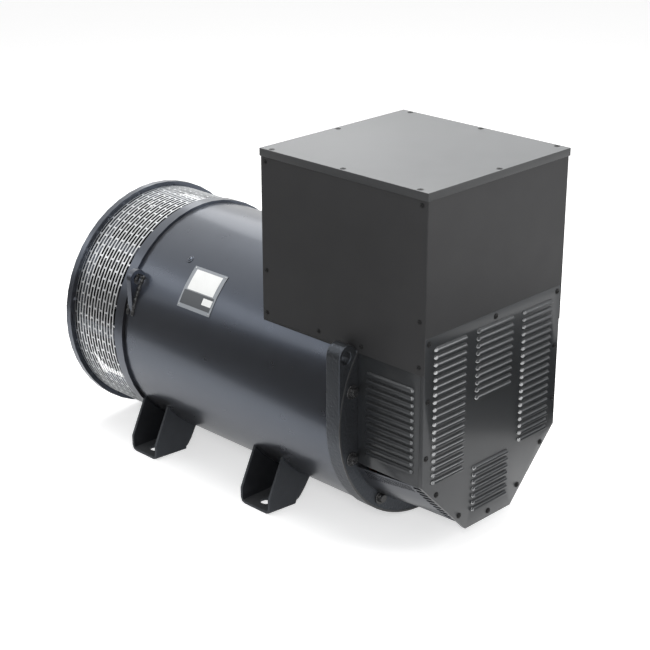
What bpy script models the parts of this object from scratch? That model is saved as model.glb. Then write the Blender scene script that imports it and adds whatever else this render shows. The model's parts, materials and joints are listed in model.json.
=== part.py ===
"""Generator alternator head, modelled as separate pieces, in metres with +Z up.

Every outline is drawn about the shaft axis: X across, Z up, and Y along the shaft, from
the louvred rear plate (Y = 0) towards the drive end. Two empties on that axis carry the
pieces, one for what stands still and one for what turns, and lift them to shaft height.
"""

import math
from itertools import product

import bmesh
import bpy
from mathutils import Vector

# Fits
FIT = 0.0003
SHEET = 0.002
ROUND = 48
SMALL_ROUND = 16

# Shaft height above the soles of the feet
SHAFT_HEIGHT = 0.3565

# Stations along the shaft
BRACKET_Y = 0.2253
BRACKET_WIDTH = 0.0472
BODY_LENGTH = 0.829
END_RING_WIDTH = 0.0354
SCREEN_LENGTH = 0.198
FLANGE_THICKNESS = 0.020
DISC_STANDOUT = 0.0157

# Body tube and the bolting ring inside its rear end
BODY_RADIUS = 0.3374
BODY_WALL = 0.010
BODY_RING_DEPTH = 0.0304
BODY_RING_WIDTH = 0.018
LEAD_WINDOW = (0.20, 0.06)

# Stator core and winding
CORE_START = 0.430
CORE_LENGTH = 0.480
CORE_BORE = 0.225
STATOR_SLOTS = 18
SLOT_DEPTH = 0.045
SLOT_SHARE = 0.45
WINDING_OVERHANG = 0.095
WINDING_FLARE = 0.022
WINDING_KNUCKLE = 0.015

# Non-drive-end bracket with its cast lifting lugs
BRACKET_RADIUS = 0.3425
BRACKET_RIM = 0.072
BRACKET_SPOKES = 6
SPOKE_WIDTH = 0.050
BRACKET_HUB_WALL = 0.030
CAST_LUG_STANDOUT = 0.02427
CAST_LUG_ANGLE = 32.30
CAST_LUG_HEAD = 0.032
CAST_LUG_EYE = 0.0175
CAST_LUG_EYE_SHIFT = 0.006
BOLT_INSET = 0.0325
BOLT_COUNT = 10
BOLT_FIRST_ANGLE = 18.0
BOLT_HEAD_RADIUS = 0.0135
BOLT_HEAD_HEIGHT = 0.011
BOLT_WASHER_RADIUS = 0.0195
BOLT_WASHER_HEIGHT = 0.003

# Bearing and its housing
BEARING_BORE = 0.040
BEARING_RADIUS = 0.085
BEARING_WIDTH = 0.039
RACE_WALL = 0.0085
BALL_COUNT = 8
CAGE_WALL = 0.004
HOUSING_WALL = 0.024
CAP_THICKNESS = 0.008
CAP_CLEARANCE = 0.012

# Exciter and rectifier, on the shaft's free end
EXCITER_START = 0.115
EXCITER_RADIUS = 0.178
EXCITER_YOKE = 0.013
EXCITER_POLES = 8
EXCITER_GAP = 0.002
EXCITER_ROTOR_RADIUS = 0.125
EXCITER_ROTOR_LENGTH = 0.060
EXCITER_ROTOR_SLOTS = 12
EXCITER_ROTOR_SLOT_DEPTH = 0.018
RECTIFIER_START = 0.060
RECTIFIER_THICKNESS = 0.014
RECTIFIER_RADIUS = 0.105
DIODE_COUNT = 6
DIODE_RADIUS = 0.011
DIODE_HEIGHT = 0.022

# Rotor
AIR_GAP = 0.003
SHAFT_RADIUS = 0.065
SHAFT_END_RADIUS = 0.035
SHAFT_FREE_END = 0.045
SHAFT_SHOULDER = 0.008
SHAFT_TIP_INSET = 0.006
DRIVE_SEAT_RADIUS = 0.055
POLE_COUNT = 4
POLE_ARC = 37.0
POLE_WIDTH = 0.140
POLE_TIP = 0.024
POLE_NECK = 0.186
YOKE_RADIUS = 0.112
COIL_BUILD = 0.030
COIL_HEIGHT = 0.050
COIL_LIFT = 0.004

# Fan and drive coupling
FAN_CLEARANCE = 0.015
FAN_WIDTH = 0.100
FAN_PLATE = 0.005
FAN_BLADES = 12
BLADE_ROOT = 0.190
BLADE_SWEEP = 22.0
BLADE_ANGLE = 2.0
HUB_RADIUS = 0.120
HUB_FLANGE = 0.024
HUB_BOSS_RADIUS = 0.085
HUB_LENGTH = 0.150
DISC_RADIUS = 0.28575
DISC_PACK = 0.006
DISC_BORE = 0.045
DISC_HOLE_CIRCLE = 0.27145
DISC_HOLE_RADIUS = 0.00875
DISC_HOLES = 6

# Drive-end frame, flywheel-housing flange and the slotted screen between them
END_RING_RADIUS = 0.346
END_RING_WALL = 0.046
RIB_COUNT = 8
RIB_SHARE = 0.13
RIB_STEP = 0.0025
RIB_SHOULDER = 0.0005
RIB_CLEARANCE = 0.0045
SCREEN_INSET = 0.005
SCREEN_SHEET = 0.0018
SCREEN_SLOTS = 24
SCREEN_ROWS = 5
SCREEN_BRIDGE = 2.0
SCREEN_LAND = 0.016
FLANGE_RADIUS = 0.3556
FLANGE_WALL = 0.03175
FLANGE_HOLE_INSET = 0.01585
FLANGE_HOLE_RADIUS = 0.007
FLANGE_HOLES = 16

# Welded drive-end lifting lugs
WELD_LUG_START = 1.073
WELD_LUG_THICKNESS = 0.019
WELD_LUG_STANDOUT = 0.02293
WELD_LUG_ANGLE = 31.264
WELD_LUG_HEAD = 0.028
WELD_LUG_EYE = 0.017
WELD_LUG_EYE_SHIFT = 0.002

# Pressed feet: each is a channel, open at its outer end
FOOT_PLATE = 0.008
FOOT_BEND = 0.016
FOOT_OUTER_X = 0.3275
FOOT_KINK_HEIGHT = 0.0465
FOOT_TOP_ANGLES = (215.8, 239.7)
FOOT_HOLE_X = 0.2835
FOOT_HOLE_RADIUS = 0.0185
FOOT_NDE_START = 0.5045
FOOT_NDE_WIDTH = 0.1181
FOOT_NDE_TOE_X = 0.228
FOOT_NDE_TOE_RADIUS = 0.040
FOOT_DE_START = 0.9885
FOOT_DE_WIDTH = 0.1125
FOOT_DE_TOE_X = 0.212
FOOT_DE_TOE_RADIUS = 0.022

# Rear housing: louvred plate, louvred sides, belly pan and the frame they hang on
REAR_HALF_WIDTH = 0.2738
REAR_TOP = 0.2965
REAR_SHOULDER = -0.110
REAR_BOTTOM = -0.295
REAR_SOLE_HALF = 0.094
REAR_RETURN = 0.013
SIDE_FACE = 0.2734
LOUVRE_PITCH = 0.02035
LOUVRE_HEIGHT = 0.012
LOUVRE_DEPTH = 0.008
LOUVRE_COLUMN = (0.112, 0.240)
LOUVRE_COLUMN_DROP = 0.0385
LOUVRE_COLUMN_COUNT = 19
LOUVRE_CENTRE = (-0.075, 0.075)
LOUVRE_CENTRE_DROP = 0.037
LOUVRE_CENTRE_COUNT = 10
LOUVRE_FOOT_DROP = 0.016
LOUVRE_FOOT_COUNT = 7
SIDE_BOTTOM = -0.112
SIDE_LOUVRES = 12
SIDE_LOUVRE_DROP = 0.0505
SIDE_LOUVRE_SPAN = (0.031, 0.195)
FRAME_BAR = 0.018
FRAME_DEPTH = 0.0145
BELLY_RADIUS = 0.300
BELLY_ANGLES = (205.0, 335.0)
BELLY_START = 0.015
BELLY_SLOTS = 17
BELLY_SLOT = (0.006, 0.028)
BELLY_SLOT_SHARE = 0.55

# Terminal box
BOX_HALF_WIDTH = 0.2761
BOX_START = -0.0005
BOX_LENGTH = 0.5715
BOX_SKIRT = 0.199
LID_TOP = 0.6725
LID_LIP = 0.0223
LID_HALF_WIDTH = 0.279
LID_START = -0.0037
LID_LENGTH = 0.5773
POST_SIDE = 0.020

# Inside the box
BOARD_SIZE = (0.300, 0.130, 0.016)
BOARD_START = 0.420
BOARD_BASE = 0.400
STAND_THICKNESS = 0.006
STAND_INSET = 0.020
STUD_COUNT = 6
STUD_RADIUS = 0.008
STUD_HEIGHT = 0.036
REGULATOR_SIZE = (0.190, 0.110, 0.042)
REGULATOR_CLEARANCE = 0.020

# Name plate and plug on the body
NAME_PLATE_Y = (0.765, 0.900)
NAME_PLATE_ANGLES = (131.6, 152.9)
NAME_PLATE_SHEET = 0.0015
PLUG_Y = 0.9387
PLUG_ANGLE = 129.3
PLUG_RADIUS = 0.012
PLUG_HEIGHT = 0.004

# Stations that follow from the sizes above
BODY_START = BRACKET_Y + BRACKET_WIDTH
BODY_END = BODY_START + BODY_LENGTH
RING_END = BODY_END + END_RING_WIDTH
FLANGE_START = RING_END + SCREEN_LENGTH
FLANGE_FACE = FLANGE_START + FLANGE_THICKNESS
DISC_FACE = FLANGE_FACE + DISC_STANDOUT
DISC_START = DISC_FACE - DISC_PACK
HUB_END = DISC_START - FIT
HUB_START = HUB_END - HUB_LENGTH
CORE_END = CORE_START + CORE_LENGTH
CORE_RADIUS = BODY_RADIUS - BODY_WALL - FIT
BEARING_START = BRACKET_Y + (BRACKET_WIDTH - BEARING_WIDTH) / 2
RACE_CREST = (BEARING_RADIUS - RACE_WALL) * math.cos(math.pi / SMALL_ROUND)
BALL_CIRCLE = (BEARING_BORE + RACE_WALL + RACE_CREST) / 2
BALL_RADIUS = (RACE_CREST - BEARING_BORE - RACE_WALL) / 2 - FIT
HOUSING_RADIUS = BEARING_RADIUS + HOUSING_WALL
ROTOR_RADIUS = CORE_BORE - AIR_GAP
BOX_END = BOX_START + BOX_LENGTH
BOX_TOP = LID_TOP - SHEET - FIT
REAR_Y = (LOUVRE_DEPTH - DISC_FACE) / 2

# Radii and places that follow from the sizes above
BODY_RING_RADIUS = BODY_RADIUS - BODY_WALL - BODY_RING_DEPTH
BOLT_CIRCLE = BRACKET_RADIUS - BOLT_INSET
CAST_LUG_X = (BRACKET_RADIUS + CAST_LUG_STANDOUT) * math.cos(math.radians(CAST_LUG_ANGLE))
CAST_LUG_Z = (BRACKET_RADIUS + CAST_LUG_STANDOUT) * math.sin(math.radians(CAST_LUG_ANGLE))
WELD_LUG_X = (BODY_RADIUS + WELD_LUG_STANDOUT) * math.cos(math.radians(WELD_LUG_ANGLE))
WELD_LUG_Z = (BODY_RADIUS + WELD_LUG_STANDOUT) * math.sin(math.radians(WELD_LUG_ANGLE))
END_RING_BORE = END_RING_RADIUS - END_RING_WALL
SCREEN_RADIUS = END_RING_RADIUS - SCREEN_INSET
RIB_RADIUS = SCREEN_RADIUS - RIB_CLEARANCE
RIB_BORE = END_RING_BORE + RIB_STEP
FAN_RADIUS = END_RING_BORE - FAN_CLEARANCE
FLANGE_BORE = FLANGE_RADIUS - FLANGE_WALL
FLANGE_HOLE_CIRCLE = FLANGE_RADIUS - FLANGE_HOLE_INSET
FOOT_KINK_Z = FOOT_KINK_HEIGHT - SHAFT_HEIGHT

REAR_OUTLINE = [
    (-REAR_SOLE_HALF, REAR_BOTTOM),
    (REAR_SOLE_HALF, REAR_BOTTOM),
    (REAR_HALF_WIDTH, REAR_SHOULDER),
    (REAR_HALF_WIDTH, REAR_TOP),
    (-REAR_HALF_WIDTH, REAR_TOP),
    (-REAR_HALF_WIDTH, REAR_SHOULDER),
]


def clear_scene() -> None:
    """Remove whatever the scene holds before modelling starts."""
    for obj in list(bpy.data.objects):
        bpy.data.objects.remove(obj, do_unlink=True)


def finish(name: str, colour: str, roughness: float, metallic: float) -> bpy.types.Material:
    """A Principled material; the colour is written as an sRGB hex value."""
    material = bpy.data.materials.new(name)
    material.use_nodes = True
    shader = material.node_tree.nodes["Principled BSDF"]
    channels = [int(colour[i : i + 2], 16) / 255 for i in (0, 2, 4)]
    linear = [c / 12.92 if c <= 0.04045 else ((c + 0.055) / 1.055) ** 2.4 for c in channels]
    shader.inputs["Base Color"].default_value = (*linear, 1.0)
    shader.inputs["Roughness"].default_value = roughness
    shader.inputs["Metallic"].default_value = metallic
    return material


def carrier(name: str) -> bpy.types.Object:
    """An empty on the shaft axis, level with the rear plate."""
    empty = bpy.data.objects.new(name, None)
    empty.location = (0.0, REAR_Y, SHAFT_HEIGHT)
    bpy.context.scene.collection.objects.link(empty)
    return empty


def piece(name: str, bm: bmesh.types.BMesh, material, parent) -> bpy.types.Object:
    """Turn a finished bmesh into one named, shaded object under its carrier."""
    bmesh.ops.recalc_face_normals(bm, faces=bm.faces)
    mesh = bpy.data.meshes.new(name)
    bm.to_mesh(mesh)
    bm.free()
    mesh.shade_smooth()
    mesh.set_sharp_from_angle(angle=math.radians(35))
    mesh.materials.append(material)
    obj = bpy.data.objects.new(name, mesh)
    bpy.context.scene.collection.objects.link(obj)
    obj.parent = parent
    return obj


def cut(obj: bpy.types.Object, cutter: bpy.types.Object) -> None:
    """Take the cutter's shape out of an object, and keep the cutter out of renders."""
    cutter.hide_render = True
    cutter.display_type = "WIRE"
    modifier = obj.modifiers.new(cutter.name, "BOOLEAN")
    modifier.operation = "DIFFERENCE"
    modifier.solver = "EXACT"
    modifier.object = cutter


def join(obj: bpy.types.Object, added: bpy.types.Object) -> None:
    """Fuse another shape onto an object, and keep that shape itself out of renders."""
    cut(obj, added)
    obj.modifiers[added.name].operation = "UNION"


def polar(radius: float, degrees: float) -> tuple[float, float]:
    """A point of the X-Z plane, its angle counted from +X towards +Z."""
    angle = math.radians(degrees)
    return radius * math.cos(angle), radius * math.sin(angle)


def arc(radius: float, start: float, end: float, steps: int, centre=(0.0, 0.0)) -> list:
    """Points along an arc, both of its ends included."""
    turns = [polar(radius, start + (end - start) * i / steps) for i in range(steps + 1)]
    return [(centre[0] + x, centre[1] + z) for x, z in turns]


def circle(radius: float, sides: int, centre=(0.0, 0.0)) -> list:
    """The corners of a regular polygon that stands for a circle."""
    return arc(radius, 0, 360, sides, centre)[:-1]


def facet_angles(start: float, end: float) -> list:
    """The two angles given, and the corners of the body tube's facets between them."""
    facet = 360 / ROUND
    low, high = sorted((start, end))
    inner = [i * facet for i in range(math.ceil(low / facet + 0.01), math.ceil(high / facet - 0.01))]
    angles = [low, *inner, high]
    return angles if start < end else angles[::-1]


def body_arc(start: float, end: float, clearance=FIT) -> list:
    """Points along the body tube's faceted outside, standing off it by a clearance."""
    half = 180 / ROUND
    points = []
    for angle in facet_angles(start, end):
        off = math.radians((angle % (2 * half)) - half)
        flat = BODY_RADIUS * math.cos(math.radians(half)) / math.cos(off)
        points.append(polar(flat + clearance, angle))
    return points


def hole_ring(count: int, ring: float, radius: float, first=0.0, sides=8) -> list:
    """Round holes spaced evenly on a circle about the shaft axis."""
    centres = [polar(ring, first + 360 * i / count) for i in range(count)]
    return [circle(radius, sides, centre) for centre in centres]


def rectangle(low_u: float, high_u: float, low_v: float, high_v: float) -> list:
    """A rectangle's corners, counter-clockwise."""
    return [(low_u, low_v), (high_u, low_v), (high_u, high_v), (low_u, high_v)]


def inset(outline: list, distance: float) -> list:
    """A convex, counter-clockwise outline moved inwards by a distance."""
    moved = []
    for i, point in enumerate(outline):
        here = Vector(point)
        along = (here - Vector(outline[i - 1])).normalized()
        onward = (Vector(outline[(i + 1) % len(outline)]) - here).normalized()
        first, second = Vector((-along.y, along.x)), Vector((-onward.y, onward.x))
        middle = (first + second).normalized()
        moved.append(tuple(here + middle * distance / middle.dot(first)))
    return moved


def across_y(u: float, v: float, w: float) -> Vector:
    """Outline drawn in X and Z, depth along Y."""
    return Vector((u, w, v))


def across_z(u: float, v: float, w: float) -> Vector:
    """Outline drawn in X and Y, depth along Z."""
    return Vector((u, v, w))


def add_loop(bm, outline: list, place, depth: float) -> list:
    """A closed loop of new vertices at one depth, without faces."""
    return [bm.verts.new(place(u, v, depth)) for u, v in outline]


def fill(bm, loops: list) -> list:
    """Fill the area between closed loops of vertices and return the new faces."""
    edges = []
    for loop in loops:
        for start, end in zip(loop, loop[1:] + loop[:1]):
            edges.append(bm.edges.get((start, end)) or bm.edges.new((start, end)))
    made = bmesh.ops.triangle_fill(bm, use_beauty=True, use_dissolve=False, edges=edges)
    return [item for item in made["geom"] if isinstance(item, bmesh.types.BMFace)]


def add_strip(bm, near: list, far: list) -> None:
    """Join two closed loops of equal length with quads."""
    for i in range(len(near)):
        j = (i + 1) % len(near)
        bm.faces.new((near[i], near[j], far[j], far[i]))


def add_prism(bm, outline: list, near: float, far: float, holes=(), place=across_y) -> None:
    """Extrude an outline with holes from one depth to another."""
    loops = [add_loop(bm, loop, place, near) for loop in (outline, *holes)]
    faces = fill(bm, loops)
    grown = bmesh.ops.extrude_face_region(bm, geom=faces)["geom"]
    moved = [item for item in grown if isinstance(item, bmesh.types.BMVert)]
    bmesh.ops.translate(bm, verts=moved, vec=place(0.0, 0.0, far - near))


def add_block(bm, low: tuple, high: tuple) -> None:
    """A box between two corners."""
    outline = rectangle(low[0], high[0], low[2], high[2])
    add_prism(bm, outline, low[1], high[1])


def add_turned(bm, profile: list, sides: int) -> None:
    """Turn a closed profile of (radius, Y) points about the shaft axis."""
    rings = []
    for radius, y in profile:
        if radius == 0:
            rings.append([bm.verts.new((0.0, y, 0.0))] * sides)
        else:
            rings.append([bm.verts.new((x, y, z)) for x, z in circle(radius, sides)])
    for near, far in zip(rings, rings[1:] + rings[:1]):
        for i in range(sides):
            j = (i + 1) % sides
            corners = list(dict.fromkeys((near[i], near[j], far[j], far[i])))
            if len(corners) > 2:
                bm.faces.new(corners)


def add_shell(bm, angles: list, stations: list, solid) -> None:
    """A curved wall made of cells.

    Args:
        angles: column edges in degrees; a full turn closes on itself.
        stations: row edges, each (Y, inner radius, outer radius).
        solid: says of a column and a row whether that cell is metal.
    """
    columns, rows = len(angles) - 1, len(stations) - 1
    closed = angles[-1] - angles[0] > 359.9
    corners = {}

    def at(i: int, j: int, layer: int):
        key = (i % columns if closed else i, j, layer)
        if key not in corners:
            y, *radii = stations[j]
            x, z = polar(radii[layer], angles[key[0]])
            corners[key] = bm.verts.new((x, y, z))
        return corners[key]

    def filled(i: int, j: int) -> bool:
        i = i % columns if closed else i
        return 0 <= i < columns and 0 <= j < rows and solid(i, j)

    for i, j in product(range(columns), range(rows)):
        if not filled(i, j):
            continue
        cell = ((i, j), (i + 1, j), (i + 1, j + 1), (i, j + 1))
        for layer in (0, 1):
            bm.faces.new([at(*corner, layer) for corner in cell])
        for neighbour, near, far in (
            ((i - 1, j), cell[0], cell[3]),
            ((i + 1, j), cell[1], cell[2]),
            ((i, j - 1), cell[0], cell[1]),
            ((i, j + 1), cell[3], cell[2]),
        ):
            if not filled(*neighbour):
                bm.faces.new([at(*near, 0), at(*near, 1), at(*far, 1), at(*far, 0)])


def split_turn(count: int, first: float, share: float) -> list:
    """Column edges for a full turn of equal pitches, each split into two parts."""
    pitch = 360 / count
    edges = []
    for i in range(count):
        edges += [first + i * pitch, first + (i + share) * pitch]
    return edges + [first + 360]


def add_head(bm, seat: Vector, direction: Vector, rings: list, sides: int) -> None:
    """A bolt head, stud or plug grown from its seat through rings of (radius, height)."""
    turn = Vector((0.0, 0.0, 1.0)).rotation_difference(direction).to_matrix()
    loops = []
    for radius, height in rings:
        loops.append([bm.verts.new(seat + turn @ Vector((x, y, height))) for x, y in circle(radius, sides)])
    bm.faces.new(loops[0])
    bm.faces.new(loops[-1])
    for near, far in zip(loops, loops[1:]):
        add_strip(bm, near, far)


def add_sheet(bm, outline: list, place, lip=0.0, louvres=()) -> None:
    """A flat sheet, its outer face at depth 0, with pressed louvres and a return all round.

    Args:
        place: sets a point from (along, up, outwards).
        lip: depth of the return behind the outer face; 0 leaves the edge plain.
        louvres: rectangles (low along, high along, mouth, crown), open at the mouth.
    """
    front, back = [add_loop(bm, outline, place, 0.0)], []
    inner = inset(outline, SHEET) if lip else outline
    back.append(add_loop(bm, inner, place, -SHEET))
    if lip:
        edge_out, edge_in = add_loop(bm, outline, place, -lip), add_loop(bm, inner, place, -lip)
        add_strip(bm, front[0], edge_out)
        add_strip(bm, edge_out, edge_in)
        add_strip(bm, edge_in, back[0])
    else:
        add_strip(bm, front[0], back[0])
    for low, high, mouth, crown in louvres:
        hole, pocket = add_louvre(bm, low, high, mouth, crown, place)
        front.append(hole)
        back.append(pocket)
    fill(bm, front)
    fill(bm, back)


def add_louvre(bm, low: float, high: float, mouth: float, crown: float, place) -> tuple:
    """One scoop pressed out of a sheet; returns the loops where it meets both skins."""

    def at(u: float, v: float, w: float):
        return bm.verts.new(place(u, v, w))

    low_in, high_in = low + SHEET, high - SHEET
    lip_in = LOUVRE_DEPTH - 1.3 * SHEET
    crown_low, crown_high = at(low, crown, 0), at(high, crown, 0)
    foot_low, foot_high = at(low, mouth, 0), at(high, mouth, 0)
    sill_low, sill_high = at(low_in, mouth, 0), at(high_in, mouth, 0)
    lip_low, lip_high = at(low, mouth, LOUVRE_DEPTH), at(high, mouth, LOUVRE_DEPTH)
    back_low, back_high = at(low_in, mouth, -SHEET), at(high_in, mouth, -SHEET)
    roof_low, roof_high = at(low_in, crown - SHEET, -SHEET), at(high_in, crown - SHEET, -SHEET)
    edge_low, edge_high = at(low_in, mouth, lip_in), at(high_in, mouth, lip_in)
    for corners in (
        (crown_low, crown_high, lip_high, lip_low),
        (crown_low, lip_low, foot_low),
        (crown_high, foot_high, lip_high),
        (roof_low, roof_high, edge_high, edge_low),
        (roof_low, back_low, sill_low),
        (roof_low, sill_low, edge_low),
        (roof_high, sill_high, back_high),
        (roof_high, edge_high, sill_high),
        (foot_low, sill_low, edge_low, lip_low),
        (foot_high, lip_high, edge_high, sill_high),
        (lip_low, edge_low, edge_high, lip_high),
        (sill_low, sill_high, back_high, back_low),
    ):
        bm.faces.new(corners)
    hole = [crown_low, crown_high, foot_high, sill_high, sill_low, foot_low]
    return hole, [roof_low, roof_high, back_high, back_low]


def lug_head(ring: float, x: float, z: float, head: float) -> list:
    """A lug's rounded head on the +X side, and the angles where its two sides meet the ring."""
    outer = x + head
    base = math.degrees(math.acos(min(1.0, outer / ring)))
    reach = math.hypot(x, z)
    inward = math.degrees(math.acos((reach**2 + head**2 - ring**2) / (2 * reach * head)))
    crown = math.degrees(math.atan2(z, x)) + 180 - inward
    top = arc(head, 0, crown, 8, (x, z))
    end_angle = math.degrees(math.atan2(top[-1][1], top[-1][0]))
    return [(end_angle, base), top]


def mirrored(outline: list, side: int) -> list:
    """The outline on the +X side (1) or the -X side (-1)."""
    return [(side * x, z) for x, z in outline]


def build_stator_frame(parent, steel) -> None:
    """The rolled body tube with a bolting ring at its rear end, cut open under the terminal box."""
    bm = bmesh.new()
    inside = BODY_RADIUS - BODY_WALL
    near = BODY_START + BODY_RING_WIDTH
    profile = [
        (inside, near),
        (BODY_RING_RADIUS, near),
        (BODY_RING_RADIUS, BODY_START),
        (BODY_RADIUS, BODY_START),
        (BODY_RADIUS, BODY_END),
        (inside, BODY_END),
    ]
    add_turned(bm, profile, ROUND)
    frame = piece("stator_frame", bm, steel, parent)
    bm = bmesh.new()
    width, length = LEAD_WINDOW
    middle = (near + CORE_START) / 2
    low = (-width / 2, middle - length / 2, BODY_RING_RADIUS / 2)
    add_block(bm, low, (width / 2, middle + length / 2, BODY_RADIUS + BODY_WALL))
    cut(frame, piece("lead_window_cutter", bm, steel, parent))


def build_stator_core(parent, iron) -> None:
    """The laminated core, its bore opened by winding slots."""
    bm = bmesh.new()
    pitch = 360 / STATOR_SLOTS
    half = pitch * SLOT_SHARE / 2
    bore = []
    for i in range(STATOR_SLOTS):
        slot = i * pitch
        for radius, angle in (
            (CORE_BORE, slot - half),
            (CORE_BORE + SLOT_DEPTH, slot - half),
            (CORE_BORE + SLOT_DEPTH, slot + half),
            (CORE_BORE, slot + half),
        ):
            bore.append(polar(radius, angle))
    add_prism(bm, circle(CORE_RADIUS, ROUND), CORE_START, CORE_END, [bore])
    piece("stator_core", bm, iron, parent)


def build_stator_winding(parent, copper) -> None:
    """Coil sides in every slot, joined by flared end turns."""
    bm = bmesh.new()
    pitch = 360 / STATOR_SLOTS
    play = math.degrees(FIT / CORE_BORE)
    half = pitch * SLOT_SHARE / 2 - play
    angles = split_turn(STATOR_SLOTS, -half, 2 * half / pitch)
    low, high = CORE_BORE + AIR_GAP, CORE_BORE + SLOT_DEPTH - 2 * FIT
    stations = []
    for face, way in ((CORE_START, -1), (CORE_END, 1)):
        stations += [
            (face + way * WINDING_OVERHANG, low + WINDING_FLARE, high + WINDING_FLARE),
            (face + way * WINDING_KNUCKLE, low, high),
        ][::-way]
    add_shell(bm, angles, stations, lambda i, j: j != 1 or i % 2 == 0)
    piece("stator_winding", bm, copper, parent)


def bracket_outline() -> list:
    """The bracket's round rim with a lifting lug on each side."""
    (top, base), head = lug_head(BRACKET_RADIUS, CAST_LUG_X, CAST_LUG_Z, CAST_LUG_HEAD)
    right = [polar(BRACKET_RADIUS, base)] + head
    left = mirrored(right, -1)[::-1]
    over = arc(BRACKET_RADIUS, top, 180 - top, 14)[1:-1]
    under = arc(BRACKET_RADIUS, 180 - base, 360 + base, 25)[1:-1]
    return right + over + left + under


def build_nde_bracket(parent, cast) -> None:
    """The cast bracket: rim, spokes and the seat for the bearing housing."""
    bm = bmesh.new()
    hub, rim = HOUSING_RADIUS + BRACKET_HUB_WALL, BRACKET_RADIUS - BRACKET_RIM
    holes = [circle(HOUSING_RADIUS, SMALL_ROUND)]
    for i in range(BRACKET_SPOKES):
        start, end = 360 * i / BRACKET_SPOKES, 360 * (i + 1) / BRACKET_SPOKES
        near, far = (math.degrees(math.asin(SPOKE_WIDTH / 2 / r)) for r in (hub, rim))
        holes.append(arc(rim, start + far, end - far, 5) + arc(hub, end - near, start + near, 3))
    for side in (-1, 1):
        centre = (side * (CAST_LUG_X + CAST_LUG_EYE_SHIFT), CAST_LUG_Z)
        holes.append(circle(CAST_LUG_EYE, 12, centre))
    add_prism(bm, bracket_outline(), BRACKET_Y, BODY_START - FIT, holes)
    piece("nde_bracket", bm, cast, parent)


def build_bracket_bolts(parent, zinc) -> None:
    """Hexagon bolts with washers round the bracket's rim."""
    top = BOLT_WASHER_HEIGHT
    rings = [
        (BOLT_WASHER_RADIUS, FIT),
        (BOLT_WASHER_RADIUS, top),
        (BOLT_HEAD_RADIUS, top),
        (BOLT_HEAD_RADIUS, top + BOLT_HEAD_HEIGHT),
    ]
    for number, angle in enumerate(bolt_angles(), start=1):
        bm = bmesh.new()
        x, z = polar(BOLT_CIRCLE, angle)
        add_head(bm, Vector((x, BRACKET_Y, z)), Vector((0, -1, 0)), rings, 6)
        piece(f"bracket_bolt_{number:02d}", bm, zinc, parent)


def bolt_angles() -> list:
    """Where the bracket's bolts stand round the rim."""
    return [BOLT_FIRST_ANGLE + 360 * i / BOLT_COUNT for i in range(BOLT_COUNT)]


def build_bearing_seat(parent, steel, cast) -> None:
    """The bearing housing in the bracket, its two caps and the bearing's outer ring."""
    bm = bmesh.new()
    inside, outside = BEARING_RADIUS + FIT, HOUSING_RADIUS - FIT
    end = BODY_START - FIT
    add_turned(bm, [(inside, BRACKET_Y), (outside, BRACKET_Y), (outside, end), (inside, end)], SMALL_ROUND)
    piece("bearing_housing", bm, cast, parent)
    for name, seat, bearing_face, way in (
        ("bearing_cap_outer", BRACKET_Y, BEARING_START, -1),
        ("bearing_cap_inner", end, BEARING_START + BEARING_WIDTH, 1),
    ):
        bm = bmesh.new()
        bore, spigot = BEARING_BORE + CAP_CLEARANCE, BEARING_RADIUS - RACE_WALL
        face, tip = seat + way * FIT, bearing_face + way * FIT
        back = seat + way * CAP_THICKNESS
        profile = [
            (bore, back),
            (outside, back),
            (outside, face),
            (BEARING_RADIUS, face),
            (BEARING_RADIUS, tip),
            (spigot, tip),
            (spigot, face),
            (bore, face),
        ]
        add_turned(bm, profile, SMALL_ROUND)
        piece(name, bm, cast, parent)
    bm = bmesh.new()
    add_race(bm, BEARING_RADIUS - RACE_WALL, BEARING_RADIUS)
    piece("bearing_outer_ring", bm, steel, parent)


def add_race(bm, low: float, high: float) -> None:
    """One plain ring of the bearing."""
    start, end = BEARING_START, BEARING_START + BEARING_WIDTH
    add_turned(bm, [(low, start), (high, start), (high, end), (low, end)], SMALL_ROUND)


def build_bearing_cage(parent, brass) -> None:
    """The bearing's ball set: a brass cage that carries its balls round with it."""
    middle = BEARING_START + BEARING_WIDTH / 2
    low, high = BALL_CIRCLE - CAGE_WALL / 2, BALL_CIRCLE + CAGE_WALL / 2
    edge = (BEARING_WIDTH / 2 + BALL_RADIUS) / 2
    near, far = middle - edge, middle + edge
    bm = bmesh.new()
    add_turned(bm, [(low, near), (high, near), (high, far), (low, far)], SMALL_ROUND)
    cage = piece("ball_cage_set", bm, brass, parent)
    bm = bmesh.new()
    for i in range(BALL_COUNT):
        x, z = polar(BALL_CIRCLE, 360 * i / BALL_COUNT)
        ball = bmesh.ops.create_uvsphere(bm, u_segments=6, v_segments=4, radius=BALL_RADIUS)
        bmesh.ops.translate(bm, verts=ball["verts"], vec=(x, middle, z))
    join(cage, piece("bearing_balls", bm, brass, parent))


def build_exciter_stator(parent, iron) -> None:
    """The exciter's fixed poles, bolted against the bracket."""
    bm = bmesh.new()
    yoke, tip = EXCITER_RADIUS - EXCITER_YOKE, EXCITER_ROTOR_RADIUS + EXCITER_GAP
    pitch = 360 / EXCITER_POLES
    bore = []
    for i in range(EXCITER_POLES):
        pole = (i + 0.5) * pitch
        bore += arc(yoke, pole - 0.75 * pitch, pole - 0.25 * pitch, 2)
        bore += arc(tip, pole - 0.22 * pitch, pole + 0.22 * pitch, 2)
    add_prism(bm, circle(EXCITER_RADIUS, ROUND // 2), EXCITER_START, BRACKET_Y - FIT, [bore])
    piece("exciter_stator", bm, iron, parent)


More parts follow.
